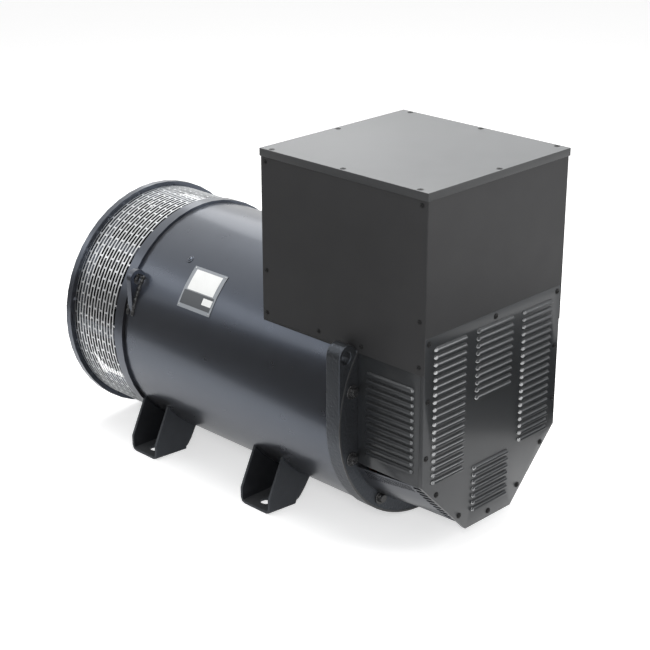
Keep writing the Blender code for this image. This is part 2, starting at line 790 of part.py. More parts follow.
def build_exciter_rotor(rotor, iron) -> None:
    """The exciter's slotted armature on the shaft's free end."""
    bm = bmesh.new()
    pitch = 360 / EXCITER_ROTOR_SLOTS
    rim = []
    for i in range(EXCITER_ROTOR_SLOTS):
        rim += arc(EXCITER_ROTOR_RADIUS, (i - 0.35) * pitch, (i + 0.35) * pitch, 1)
        rim += arc(EXCITER_ROTOR_RADIUS - EXCITER_ROTOR_SLOT_DEPTH, (i + 0.38) * pitch, (i + 0.62) * pitch, 1)
    start = (EXCITER_START + BRACKET_Y - CAP_THICKNESS - EXCITER_ROTOR_LENGTH) / 2
    bore = circle(SHAFT_END_RADIUS + FIT, SMALL_ROUND)
    add_prism(bm, rim, start, start + EXCITER_ROTOR_LENGTH, [bore])
    piece("exciter_rotor", bm, iron, rotor)


def build_rectifier(rotor, metal) -> None:
    """The rotating rectifier: a heat-sink disc on the shaft with the diodes pressed into it."""
    bm = bmesh.new()
    bore, end = SHAFT_END_RADIUS + FIT, RECTIFIER_START + RECTIFIER_THICKNESS
    add_turned(
        bm,
        [(bore, RECTIFIER_START), (RECTIFIER_RADIUS, RECTIFIER_START), (RECTIFIER_RADIUS, end), (bore, end)],
        SMALL_ROUND,
    )
    disc = piece("rectifier_disc", bm, metal, rotor)
    bm = bmesh.new()
    rings = [(DIODE_RADIUS, -RECTIFIER_THICKNESS / 2), (DIODE_RADIUS, DIODE_HEIGHT)]
    middle = (bore + RECTIFIER_RADIUS) / 2
    for i in range(DIODE_COUNT):
        x, z = polar(middle, 360 * i / DIODE_COUNT)
        add_head(bm, Vector((x, RECTIFIER_START, z)), Vector((0, -1, 0)), rings, 6)
    join(disc, piece("rectifier_diodes", bm, metal, rotor))


def build_shaft(rotor, steel) -> None:
    """The stepped shaft, from the exciter's end to the drive hub, and the bearing's inner ring."""
    bm = bmesh.new()
    journal, shoulder = BEARING_BORE - FIT, BEARING_BORE + SHAFT_SHOULDER
    bearing_end = BEARING_START + BEARING_WIDTH + FIT
    step = BODY_START + 2 * CAP_THICKNESS
    tip = HUB_END - SHAFT_TIP_INSET
    profile = [
        (0.0, SHAFT_FREE_END),
        (SHAFT_END_RADIUS, SHAFT_FREE_END),
        (SHAFT_END_RADIUS, BEARING_START),
        (journal, BEARING_START),
        (journal, bearing_end),
        (shoulder, bearing_end),
        (shoulder, step),
        (SHAFT_RADIUS, step),
        (SHAFT_RADIUS, HUB_START - FIT),
        (DRIVE_SEAT_RADIUS, HUB_START - FIT),
        (DRIVE_SEAT_RADIUS, tip),
        (0.0, tip),
    ]
    add_turned(bm, profile, SMALL_ROUND)
    piece("shaft", bm, steel, rotor)
    bm = bmesh.new()
    add_race(bm, BEARING_BORE, BEARING_BORE + RACE_WALL)
    piece("bearing_inner_ring", bm, steel, rotor)


def build_rotor_core(rotor, iron) -> None:
    """The salient-pole rotor core: four poles with wide shoes on a square yoke."""
    bm = bmesh.new()
    half = POLE_WIDTH / 2
    outline = []
    for i in range(POLE_COUNT):
        turn = 360 * i / POLE_COUNT
        for x, t in ((YOKE_RADIUS, -half), (POLE_NECK, -half)):
            outline.append(turned_point(x, t, turn))
        outline.append(polar(ROTOR_RADIUS - POLE_TIP, turn - POLE_ARC))
        outline += arc(ROTOR_RADIUS, turn - POLE_ARC, turn + POLE_ARC, 6)
        outline.append(polar(ROTOR_RADIUS - POLE_TIP, turn + POLE_ARC))
        for x, t in ((POLE_NECK, half), (YOKE_RADIUS, half)):
            outline.append(turned_point(x, t, turn))
    add_prism(bm, outline, CORE_START, CORE_END, [circle(SHAFT_RADIUS + FIT, SMALL_ROUND)])
    piece("rotor_core", bm, iron, rotor)


def turned_point(x: float, t: float, degrees: float) -> tuple:
    """A point x outwards and t sideways, turned about the axis."""
    angle = math.radians(degrees)
    return x * math.cos(angle) - t * math.sin(angle), x * math.sin(angle) + t * math.cos(angle)


def build_field_coils(rotor, copper) -> None:
    """One wound coil round each rotor pole."""
    inner, outer = POLE_WIDTH / 2 + FIT, POLE_WIDTH / 2 + FIT + COIL_BUILD
    start = YOKE_RADIUS + COIL_LIFT
    hole = rectangle(-inner, inner, CORE_START - FIT, CORE_END + FIT)
    corner = COIL_BUILD * 0.6
    near, far = CORE_START - FIT - COIL_BUILD, CORE_END + FIT + COIL_BUILD
    outline = []
    for x, y, turn in ((outer, far, 0), (-outer, far, 90), (-outer, near, 180), (outer, near, 270)):
        centre = (x - math.copysign(corner, x), y - (corner if y == far else -corner))
        outline += arc(corner, turn, turn + 90, 2, centre)
    for i in range(POLE_COUNT):
        bm = bmesh.new()
        turn = 360 * i / POLE_COUNT

        def place(u: float, v: float, w: float, turn=turn) -> Vector:
            x, z = turned_point(w, u, turn)
            return Vector((x, v, z))

        loops = [add_loop(bm, loop, place, start) for loop in (outline, hole)]
        tops = [add_loop(bm, loop, place, start + COIL_HEIGHT) for loop in (outline, hole)]
        fill(bm, loops)
        fill(bm, tops)
        for near_loop, far_loop in zip(loops, tops):
            add_strip(bm, near_loop, far_loop)
        piece(f"field_coil_{i + 1}", bm, copper, rotor)


def build_fan(rotor, metal) -> None:
    """The cooling fan: a plate clamped on the hub, with swept blades standing off it."""
    bm = bmesh.new()
    plate_end = HUB_END - HUB_FLANGE - FIT
    plate_start = plate_end - FAN_PLATE
    pitch = 360 / FAN_BLADES
    offsets = [0.0, BLADE_ANGLE, (pitch + BLADE_ANGLE) / 2]
    bore = (HUB_BOSS_RADIUS + FIT) / math.cos(math.pi / (FAN_BLADES * 2))
    radii = [bore, BLADE_ROOT, (BLADE_ROOT + FAN_RADIUS) / 2, FAN_RADIUS]
    layers = []
    for y in (plate_start, plate_end):
        rings = []
        for radius in radii:
            sweep = BLADE_SWEEP * max(0.0, radius - BLADE_ROOT) / (FAN_RADIUS - BLADE_ROOT)
            angles = [i * pitch + offset + sweep for i in range(FAN_BLADES) for offset in offsets]
            rings.append([bm.verts.new((x, y, z)) for x, z in (polar(radius, a) for a in angles)])
        layers.append(rings)
    blades = []
    for rings in layers:
        for level, (low, high) in enumerate(zip(rings, rings[1:])):
            for i in range(len(low)):
                j = (i + 1) % len(low)
                face = bm.faces.new((low[i], low[j], high[j], high[i]))
                if rings is layers[0] and level > 0 and i % len(offsets) == 0:
                    blades.append(face)
    for index in (0, -1):
        add_strip(bm, layers[0][index], layers[1][index])
    bmesh.ops.recalc_face_normals(bm, faces=bm.faces)
    grown = bmesh.ops.extrude_face_region(bm, geom=blades)["geom"]
    tips = [item for item in grown if isinstance(item, bmesh.types.BMVert)]
    bmesh.ops.delete(bm, geom=[face for face in blades if face.is_valid], context="FACES_ONLY")
    bmesh.ops.translate(bm, verts=tips, vec=(0.0, -FAN_WIDTH, 0.0))
    piece("cooling_fan", bm, metal, rotor)


def build_drive(rotor, steel) -> None:
    """The hub on the shaft's drive end and the flexible disc pack, drilled for the flywheel bolts."""
    bm = bmesh.new()
    flange, bore = HUB_END - HUB_FLANGE, DRIVE_SEAT_RADIUS + FIT
    profile = [
        (bore, HUB_START),
        (HUB_BOSS_RADIUS, HUB_START),
        (HUB_BOSS_RADIUS, flange),
        (HUB_RADIUS, flange),
        (HUB_RADIUS, HUB_END),
        (bore, HUB_END),
    ]
    add_turned(bm, profile, SMALL_ROUND)
    piece("drive_hub", bm, steel, rotor)
    bm = bmesh.new()
    holes = [circle(DISC_BORE, SMALL_ROUND)]
    holes += hole_ring(DISC_HOLES, DISC_HOLE_CIRCLE, DISC_HOLE_RADIUS, 30)
    add_prism(bm, circle(DISC_RADIUS, ROUND), DISC_START, DISC_FACE, holes)
    piece("drive_discs", bm, steel, rotor)

def build_drive_end(parent, cast, galvanised) -> None:
    """The drive-end frame with its ribs, the housing flange and the slotted screen."""
    bm = bmesh.new()
    start = BODY_END + FIT
    pitch = 360 / RIB_COUNT
    rib = pitch * RIB_SHARE
    spare = (pitch - rib) / 5
    angles = []
    for i in range(RIB_COUNT):
        first = i * pitch - rib / 2
        angles += [first] + [first + rib + k * spare for k in range(5)]
    angles.append(360 - rib / 2)
    stations = [
        (start, END_RING_BORE, END_RING_RADIUS),
        (RING_END, END_RING_BORE, END_RING_RADIUS),
        (RING_END + RIB_SHOULDER, RIB_BORE, RIB_RADIUS),
        (FLANGE_START - FIT, RIB_BORE, RIB_RADIUS),
    ]
    add_shell(bm, angles, stations, lambda i, j: j == 0 or i % 6 == 0)
    piece("drive_end_frame", bm, cast, parent)

    bm = bmesh.new()
    first = 180 / FLANGE_HOLES
    holes = [circle(FLANGE_BORE, ROUND)]
    holes += hole_ring(FLANGE_HOLES, FLANGE_HOLE_CIRCLE, FLANGE_HOLE_RADIUS, first, 6)
    add_prism(bm, circle(FLANGE_RADIUS, ROUND), FLANGE_START, FLANGE_FACE, holes)
    piece("housing_flange", bm, cast, parent)

    bm = bmesh.new()
    start = RING_END + RIB_SHOULDER + FIT
    end = FLANGE_START - FIT
    pitch = (end - start - SCREEN_LAND) / SCREEN_ROWS
    inner = SCREEN_RADIUS - SCREEN_SHEET
    stations = []
    for row in range(SCREEN_ROWS):
        land = start + row * pitch
        stations += [(land, inner, SCREEN_RADIUS), (land + SCREEN_LAND, inner, SCREEN_RADIUS)]
    stations += [(end - SCREEN_LAND, inner, SCREEN_RADIUS), (end, inner, SCREEN_RADIUS)]
    angles = split_turn(SCREEN_SLOTS, -SCREEN_BRIDGE / 2, SCREEN_BRIDGE * SCREEN_SLOTS / 360)
    add_shell(bm, angles, stations, lambda i, j: j % 2 == 0 or i % 2 == 0)
    piece("air_outlet_screen", bm, galvanised, parent)


def build_weld_lugs(parent, steel) -> None:
    """Lifting lugs cut from plate and welded to the body near the drive end."""
    eye = (WELD_LUG_X - WELD_LUG_EYE_SHIFT, WELD_LUG_Z)
    seat, head = lug_head(BODY_RADIUS + FIT, WELD_LUG_X, WELD_LUG_Z, WELD_LUG_HEAD)
    outline = body_arc(*seat) + head[:-1]
    for name, side in (("de_lifting_lug_left", -1), ("de_lifting_lug_right", 1)):
        bm = bmesh.new()
        holes = [mirrored(circle(WELD_LUG_EYE, 12, eye), side)]
        end = WELD_LUG_START + WELD_LUG_THICKNESS
        add_prism(bm, mirrored(outline, side), WELD_LUG_START, end, holes)
        piece(name, bm, steel, parent)


def add_foot_block(bm, outline: list, rounded: range, start: float, end: float, bend: float) -> None:
    """Extrude a foot's side outline and round its lower edges as the press does."""
    near = add_loop(bm, outline, across_y, start)
    far = add_loop(bm, outline, across_y, end)
    add_strip(bm, near, far)
    bm.faces.new(near)
    bm.faces.new(far)
    edges = []
    for loop in (near, far):
        edges += [bm.edges.get((loop[i], loop[i + 1])) for i in rounded]
    bmesh.ops.bevel(bm, geom=edges, offset=bend, segments=2, profile=0.5, affect="EDGES")
    bmesh.ops.triangulate(bm, faces=bm.faces)


def build_foot(parent, steel, name: str, side: int, start: float, width: float, toe: tuple) -> None:
    """One channel foot: two side walls and a sole that curls up at its inner end."""
    toe_x, toe_radius = toe
    sole = -SHAFT_HEIGHT
    low, high = FOOT_TOP_ANGLES
    top = body_arc(540 - high, 540 - low)
    curl = arc(toe_radius, 270, 210, 4, (toe_x, sole + toe_radius))
    outline = top + [(FOOT_OUTER_X, FOOT_KINK_Z), (FOOT_OUTER_X, sole)] + curl
    first = len(top) + 1
    bm = bmesh.new()
    rounded = range(first, first + len(curl))
    add_foot_block(bm, mirrored(outline, side), rounded, start, start + width, FOOT_BEND)
    foot = piece(name, bm, steel, parent)

    past = FOOT_OUTER_X + FOOT_PLATE
    inner_curl = arc(toe_radius - FOOT_PLATE, 270, 210, 4, (toe_x, sole + toe_radius))
    reach = Vector(top[0]) - Vector(curl[-1])
    across = Vector((reach.y, -reach.x)).normalized() * FOOT_PLATE
    peak = Vector(top[0]) + across + reach.normalized() * 4 * FOOT_PLATE
    hollow = [tuple(peak), (past, -SHAFT_HEIGHT / 3), (past, sole + FOOT_PLATE)] + inner_curl
    bm = bmesh.new()
    near, far = start + FOOT_PLATE, start + width - FOOT_PLATE
    rounded = range(2, 2 + len(inner_curl))
    add_foot_block(bm, mirrored(hollow, side), rounded, near, far, FOOT_BEND - FOOT_PLATE)
    cut(foot, piece(name + "_hollow", bm, steel, parent))

    bm = bmesh.new()
    hole = circle(FOOT_HOLE_RADIUS, 12, (side * FOOT_HOLE_X, start + width / 2))
    add_prism(bm, hole, sole - FOOT_PLATE, sole + 2 * FOOT_PLATE, place=across_z)
    cut(foot, piece(name + "_hole", bm, steel, parent))


def outwards_rear(u: float, v: float, w: float) -> Vector:
    """A point of the rear face: X, Z and the distance out of the face."""
    return Vector((u, -w, v))


def outwards_side(side: int, face: float):
    """Place points on a side face: Y, Z and the distance out of the face."""

    def place(u: float, v: float, w: float) -> Vector:
        return Vector((side * (face + w), u, v))

    return place


def louvre_rows(span: tuple, first: float, count: int) -> list:
    """A column of louvres, counted down from the height of its first one."""
    rows = []
    for i in range(count):
        middle = first - i * LOUVRE_PITCH
        rows.append((*span, middle - LOUVRE_HEIGHT / 2, middle + LOUVRE_HEIGHT / 2))
    return rows


def build_rear_plate(parent, paint) -> None:
    """The louvred rear plate, a shallow tray with its lower corners cut off."""
    bm = bmesh.new()
    low, high = LOUVRE_COLUMN
    louvres = []
    for span, top, count in (
        ((-high, -low), REAR_TOP - LOUVRE_COLUMN_DROP, LOUVRE_COLUMN_COUNT),
        ((low, high), REAR_TOP - LOUVRE_COLUMN_DROP, LOUVRE_COLUMN_COUNT),
        (LOUVRE_CENTRE, REAR_TOP - LOUVRE_CENTRE_DROP, LOUVRE_CENTRE_COUNT),
        (LOUVRE_CENTRE, REAR_SHOULDER - LOUVRE_FOOT_DROP, LOUVRE_FOOT_COUNT),
    ):
        louvres += louvre_rows(span, top, count)
    add_sheet(bm, REAR_OUTLINE, outwards_rear, REAR_RETURN, louvres)
    piece("rear_louvre_plate", bm, paint, parent)


def build_side_panels(parent, paint) -> None:
    """The louvred panels on both sides of the rear housing."""
    start, end = REAR_RETURN + FIT, BRACKET_Y - FIT
    outline = rectangle(start, end, SIDE_BOTTOM, BOX_SKIRT - FIT)
    louvres = louvre_rows(SIDE_LOUVRE_SPAN, BOX_SKIRT - SIDE_LOUVRE_DROP, SIDE_LOUVRES)
    for name, side in (("side_louvre_panel_left", -1), ("side_louvre_panel_right", 1)):
        bm = bmesh.new()
        add_sheet(bm, outline, outwards_side(side, SIDE_FACE), 0.0, louvres)
        piece(name, bm, paint, parent)


def build_rear_frame(parent, steel) -> None:
    """The frame behind the rear plate and the four bars that tie it to the bracket."""
    bm = bmesh.new()
    outer = inset(REAR_OUTLINE, REAR_HALF_WIDTH - SIDE_FACE + SHEET + FIT)
    add_prism(bm, outer, SHEET + FIT, FRAME_DEPTH, [inset(outer, FRAME_BAR)])
    frame = piece("rear_frame", bm, steel, parent)
    bm = bmesh.new()
    outside = SIDE_FACE - SHEET - FIT
    for side, height in product((-1, 1), (REAR_SHOULDER + FRAME_BAR, BOX_SKIRT - FRAME_BAR)):
        low, high = sorted((side * (outside - FRAME_BAR), side * outside))
        half = FRAME_BAR / 2
        start, end = FRAME_DEPTH - SHEET, BRACKET_Y - FIT
        add_block(bm, (low, start, height - half), (high, end, height + half))
    join(frame, piece("rear_frame_bars", bm, steel, parent))


def build_belly_pan(parent, paint) -> None:
    """The curved pan under the rear housing, slotted along its rear edge and cleared for bolts."""
    bm = bmesh.new()
    start, end = BELLY_ANGLES
    pitch = (end - start) / (BELLY_SLOTS + 1)
    land = pitch * (1 - BELLY_SLOT_SHARE)
    angles = [start]
    for i in range(BELLY_SLOTS):
        slot = start + (i + 0.5) * pitch + land
        angles += [slot, slot + pitch - land]
    angles.append(end)
    clear = BOLT_HEAD_HEIGHT + 2 * BOLT_WASHER_HEIGHT
    near, far = BELLY_SLOT
    ys = [BELLY_START, BELLY_START + near, BELLY_START + far, BRACKET_Y - clear, BRACKET_Y - FIT]
    stations = [(y, BELLY_RADIUS - SHEET, BELLY_RADIUS) for y in ys]
    room = math.degrees((BOLT_WASHER_RADIUS + SHEET) / BELLY_RADIUS)

    def solid(i: int, j: int) -> bool:
        if j == 1:
            return i % 2 == 0
        if j == 3:
            return all(angles[i + 1] < bolt - room or angles[i] > bolt + room for bolt in bolt_angles())
        return True

    add_shell(bm, angles, stations, solid)
    piece("belly_pan", bm, paint, parent)


def build_terminal_box(parent, paint, steel) -> None:
    """The box's four panels, its floor over the rear housing, its posts and its lid."""
    inside = BOX_HALF_WIDTH - SHEET
    notch = math.sqrt(BRACKET_RADIUS**2 - inside**2) + FIT
    near, far = BRACKET_Y - FIT, BODY_START
    outline = [
        (BOX_START, BOX_SKIRT),
        (near, BOX_SKIRT),
        (near, notch),
        (far, notch),
        (far, BOX_SKIRT),
        (BOX_END, BOX_SKIRT),
        (BOX_END, BOX_TOP),
        (BOX_START, BOX_TOP),
    ]
    for name, side in (("box_panel_left", -1), ("box_panel_right", 1)):
        bm = bmesh.new()
        add_sheet(bm, outline, outwards_side(side, BOX_HALF_WIDTH))
        piece(name, bm, paint, parent)

    edge = inside - FIT
    bm = bmesh.new()
    panel = rectangle(-edge, edge, REAR_TOP + FIT, BOX_TOP)
    add_prism(bm, panel, BOX_START, BOX_START + SHEET)
    piece("box_panel_rear", bm, paint, parent)

    bm = bmesh.new()
    saddle = BODY_RADIUS + FIT
    foot = math.degrees(math.acos(edge / saddle))
    panel = [(edge, BOX_TOP), (-edge, BOX_TOP)] + body_arc(180 - foot, foot)
    add_prism(bm, panel, BOX_END - SHEET, BOX_END)
    piece("box_panel_front", bm, paint, parent)

    bm = bmesh.new()
    clear = BOLT_HEAD_HEIGHT + 2 * BOLT_WASHER_HEIGHT
    floor = rectangle(-edge, edge, REAR_RETURN + FIT, BRACKET_Y - clear)
    add_prism(bm, floor, REAR_TOP - SHEET, REAR_TOP, place=across_z)
    piece("box_floor", bm, paint, parent)

    build_box_frame(parent, steel, edge)

    bm = bmesh.new()
    outline = rectangle(-LID_HALF_WIDTH, LID_HALF_WIDTH, LID_START, LID_START + LID_LENGTH)
    add_sheet(bm, outline, lambda u, v, w: Vector((u, v, LID_TOP + w)), LID_LIP)
    piece("box_lid", bm, paint, parent)


def build_box_frame(parent, steel, edge: float) -> None:
    """The welded frame inside the box: a rail all round its top and a post in each corner."""
    start, end = BOX_START + SHEET + FIT, BOX_END - SHEET - FIT
    bm = bmesh.new()
    rail = rectangle(-edge, edge, start, end)
    add_prism(bm, rail, BOX_TOP - POST_SIDE, BOX_TOP, [inset(rail, POST_SIDE)], across_z)
    frame = piece("box_frame", bm, steel, parent)
    bm = bmesh.new()
    foot = math.sqrt((BODY_RADIUS + FIT) ** 2 - (edge - POST_SIDE) ** 2) + FIT
    trim = POST_SIDE / 10
    for side in (-1, 1):
        low, high = sorted((side * (edge - POST_SIDE + trim), side * (edge - trim)))
        top, depth = BOX_TOP - POST_SIDE / 2, POST_SIDE - trim
        add_block(bm, (low, start + trim, REAR_TOP + FIT), (high, start + depth, top))
        add_block(bm, (low, end - depth, foot), (high, end - trim, top))
    join(frame, piece("box_posts", bm, steel, parent))


def build_terminals(parent, steel, board_finish, dark) -> None:
    """The terminal board with its studs on a saddle, and the voltage regulator on the floor."""
    width, length, height = BOARD_SIZE
    bm = bmesh.new()
    reach = math.degrees(math.asin((width / 2 - STAND_INSET) / (BODY_RADIUS + FIT)))
    top = BOARD_BASE - FIT
    half = BODY_RADIUS * math.sin(math.radians(reach))
    outline = body_arc(90 + reach, 90 - reach) + [(half, top), (-half, top)]
    wall = STAND_THICKNESS
    window = body_arc(90 + 0.9 * reach, 90 - 0.9 * reach, FIT + wall)
    inner = half - wall
    window = window[1:-1] + [(inner, top - 2 * wall), (inner, top - wall), (-inner, top - wall)]
    window += [(-inner, top - 2 * wall)]
    add_prism(bm, outline, BOARD_START + wall, BOARD_START + length - wall, [window])
    piece("terminal_board_saddle", bm, steel, parent)

    bm = bmesh.new()
    outline = rectangle(-width / 2, width / 2, BOARD_START, BOARD_START + length)
    add_prism(bm, outline, BOARD_BASE, BOARD_BASE + height, place=across_z)
    board = piece("terminal_board", bm, board_finish, parent)

    bm = bmesh.new()
    nut = STUD_RADIUS * 1.6
    rings = [(nut, -height / 2), (nut, STUD_RADIUS), (STUD_RADIUS, STUD_RADIUS), (STUD_RADIUS, STUD_HEIGHT)]
    columns = STUD_COUNT // 2
    for row, column in product((0.25, 0.75), range(columns)):
        x = width * ((column + 0.5) / columns - 0.5)
        seat = Vector((x, BOARD_START + row * length, BOARD_BASE + height))
        add_head(bm, seat, Vector((0, 0, 1)), rings, 6)
    join(board, piece("terminal_studs", bm, board_finish, parent))

    bm = bmesh.new()
    width, length, height = REGULATOR_SIZE
    base = REAR_TOP + FIT
    start = BOX_START + SHEET + POST_SIDE + REGULATOR_CLEARANCE
    add_block(bm, (-width / 2, start, base), (width / 2, start + length, base + height))
    piece("voltage_regulator", bm, dark, parent)


def build_body_trim(parent, plate, dark) -> None:
    """The bare name plate curved on the body, and the plug beyond it."""
    bm = bmesh.new()
    low, high = NAME_PLATE_ANGLES
    angles = facet_angles(low, high)
    inner = BODY_RADIUS + FIT
    stations = [(y, inner, inner + NAME_PLATE_SHEET) for y in NAME_PLATE_Y]
    add_shell(bm, angles, stations, lambda i, j: True)
    piece("name_plate", bm, plate, parent)
    bm = bmesh.new()
    x, z = polar(BODY_RADIUS, PLUG_ANGLE)
    out = Vector((x, 0.0, z)).normalized()
    rings = [(PLUG_RADIUS, FIT), (PLUG_RADIUS, PLUG_HEIGHT * 0.7), (PLUG_RADIUS * 0.8, PLUG_HEIGHT)]
    add_head(bm, Vector((x, PLUG_Y, z)), out, rings, 12)
    piece("body_plug", bm, dark, parent)


def main() -> None:
    """Model the whole alternator."""
    clear_scene()
    fixed, rotor, cage = carrier("stator_datum"), carrier("rotor_axis"), carrier("cage_axis")
    paint = finish("satin_black_paint", "3c3d3f", 0.45, 0.2)
    cast = finish("painted_casting", "2f3032", 0.6, 0.2)
    steel = finish("machined_steel", "8f9398", 0.35, 1.0)
    iron = finish("lamination_steel", "5d6064", 0.5, 0.9)
    copper = finish("enamelled_copper", "8a4b28", 0.4, 0.6)
    galvanised = finish("galvanised_sheet", "c9cdd0", 0.35, 0.9)
    zinc = finish("zinc_plate", "b9bcc0", 0.35, 1.0)
    aluminium = finish("cast_aluminium", "a6aaad", 0.5, 0.9)
    brass = finish("brass", "b08d4a", 0.35, 1.0)
    board = finish("insulating_board", "6d3f2c", 0.6, 0.0)
    dark = finish("black_plastic", "1d1e20", 0.5, 0.0)
    label = finish("bare_label", "dfe1e2", 0.4, 0.1)

    build_stator_frame(fixed, paint)
    build_stator_core(fixed, iron)
    build_stator_winding(fixed, copper)
    build_nde_bracket(fixed, cast)
    build_bracket_bolts(fixed, zinc)
    build_bearing_seat(fixed, steel, cast)
    build_exciter_stator(fixed, iron)
    build_drive_end(fixed, cast, galvanised)
    build_weld_lugs(fixed, paint)
    nde_toe, de_toe = (FOOT_NDE_TOE_X, FOOT_NDE_TOE_RADIUS), (FOOT_DE_TOE_X, FOOT_DE_TOE_RADIUS)
    for hand, side in (("left", -1), ("right", 1)):
        build_foot(fixed, paint, f"foot_nde_{hand}", side, FOOT_NDE_START, FOOT_NDE_WIDTH, nde_toe)
        build_foot(fixed, paint, f"foot_de_{hand}", side, FOOT_DE_START, FOOT_DE_WIDTH, de_toe)
    build_rear_plate(fixed, paint)
    build_side_panels(fixed, paint)
    build_rear_frame(fixed, steel)
    build_belly_pan(fixed, paint)
    build_terminal_box(fixed, paint, steel)
    build_terminals(fixed, steel, board, dark)
    build_body_trim(fixed, label, dark)

    build_shaft(rotor, steel)
    build_rotor_core(rotor, iron)
    build_field_coils(rotor, copper)
    build_exciter_rotor(rotor, iron)
    build_rectifier(rotor, aluminium)
    build_fan(rotor, aluminium)
    build_drive(rotor, steel)
    build_bearing_cage(cage, brass)


main()
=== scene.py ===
"""Dresses the alternator head: smooth sheet metal, castings, screws, finishes, studio light and camera."""

from __future__ import annotations

import json
import logging
import math
from contextlib import contextmanager
from dataclasses import dataclass, field
from enum import Enum
from typing import Any, Callable, Iterator, Sequence

import bmesh
import bpy
from mathutils import Matrix, Vector

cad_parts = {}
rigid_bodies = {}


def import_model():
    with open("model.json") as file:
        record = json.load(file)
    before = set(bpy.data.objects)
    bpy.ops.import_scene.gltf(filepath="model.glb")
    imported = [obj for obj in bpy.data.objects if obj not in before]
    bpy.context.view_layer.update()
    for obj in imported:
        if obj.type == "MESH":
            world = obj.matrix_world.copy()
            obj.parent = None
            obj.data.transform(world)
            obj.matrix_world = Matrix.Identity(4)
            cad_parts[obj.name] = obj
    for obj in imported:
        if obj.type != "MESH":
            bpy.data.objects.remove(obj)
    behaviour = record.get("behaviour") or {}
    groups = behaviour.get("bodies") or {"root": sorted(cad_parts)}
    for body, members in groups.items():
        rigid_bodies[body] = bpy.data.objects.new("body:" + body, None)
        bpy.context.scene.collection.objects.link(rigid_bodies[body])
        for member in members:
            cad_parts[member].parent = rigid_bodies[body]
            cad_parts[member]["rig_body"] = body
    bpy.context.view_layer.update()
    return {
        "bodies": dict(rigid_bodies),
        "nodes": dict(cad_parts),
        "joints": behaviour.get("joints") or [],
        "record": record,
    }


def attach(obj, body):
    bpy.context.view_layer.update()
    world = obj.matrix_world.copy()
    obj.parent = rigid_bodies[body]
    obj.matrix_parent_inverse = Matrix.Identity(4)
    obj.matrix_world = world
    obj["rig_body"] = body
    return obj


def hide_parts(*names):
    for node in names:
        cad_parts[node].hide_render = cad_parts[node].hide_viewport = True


LOG = logging.getLogger("alternator")

SHAFT_HEIGHT = 0.3565
REAR_Y = -0.6813
MM = 0.001

FaceTest = Callable[[Vector, Vector], bool]
EdgeTest = Callable[[Vector, Vector], bool]


class Body(Enum):
    """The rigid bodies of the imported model."""

    STATOR = "stator"
    ROTOR = "rotor"
    CAGE = "bearing_cage"


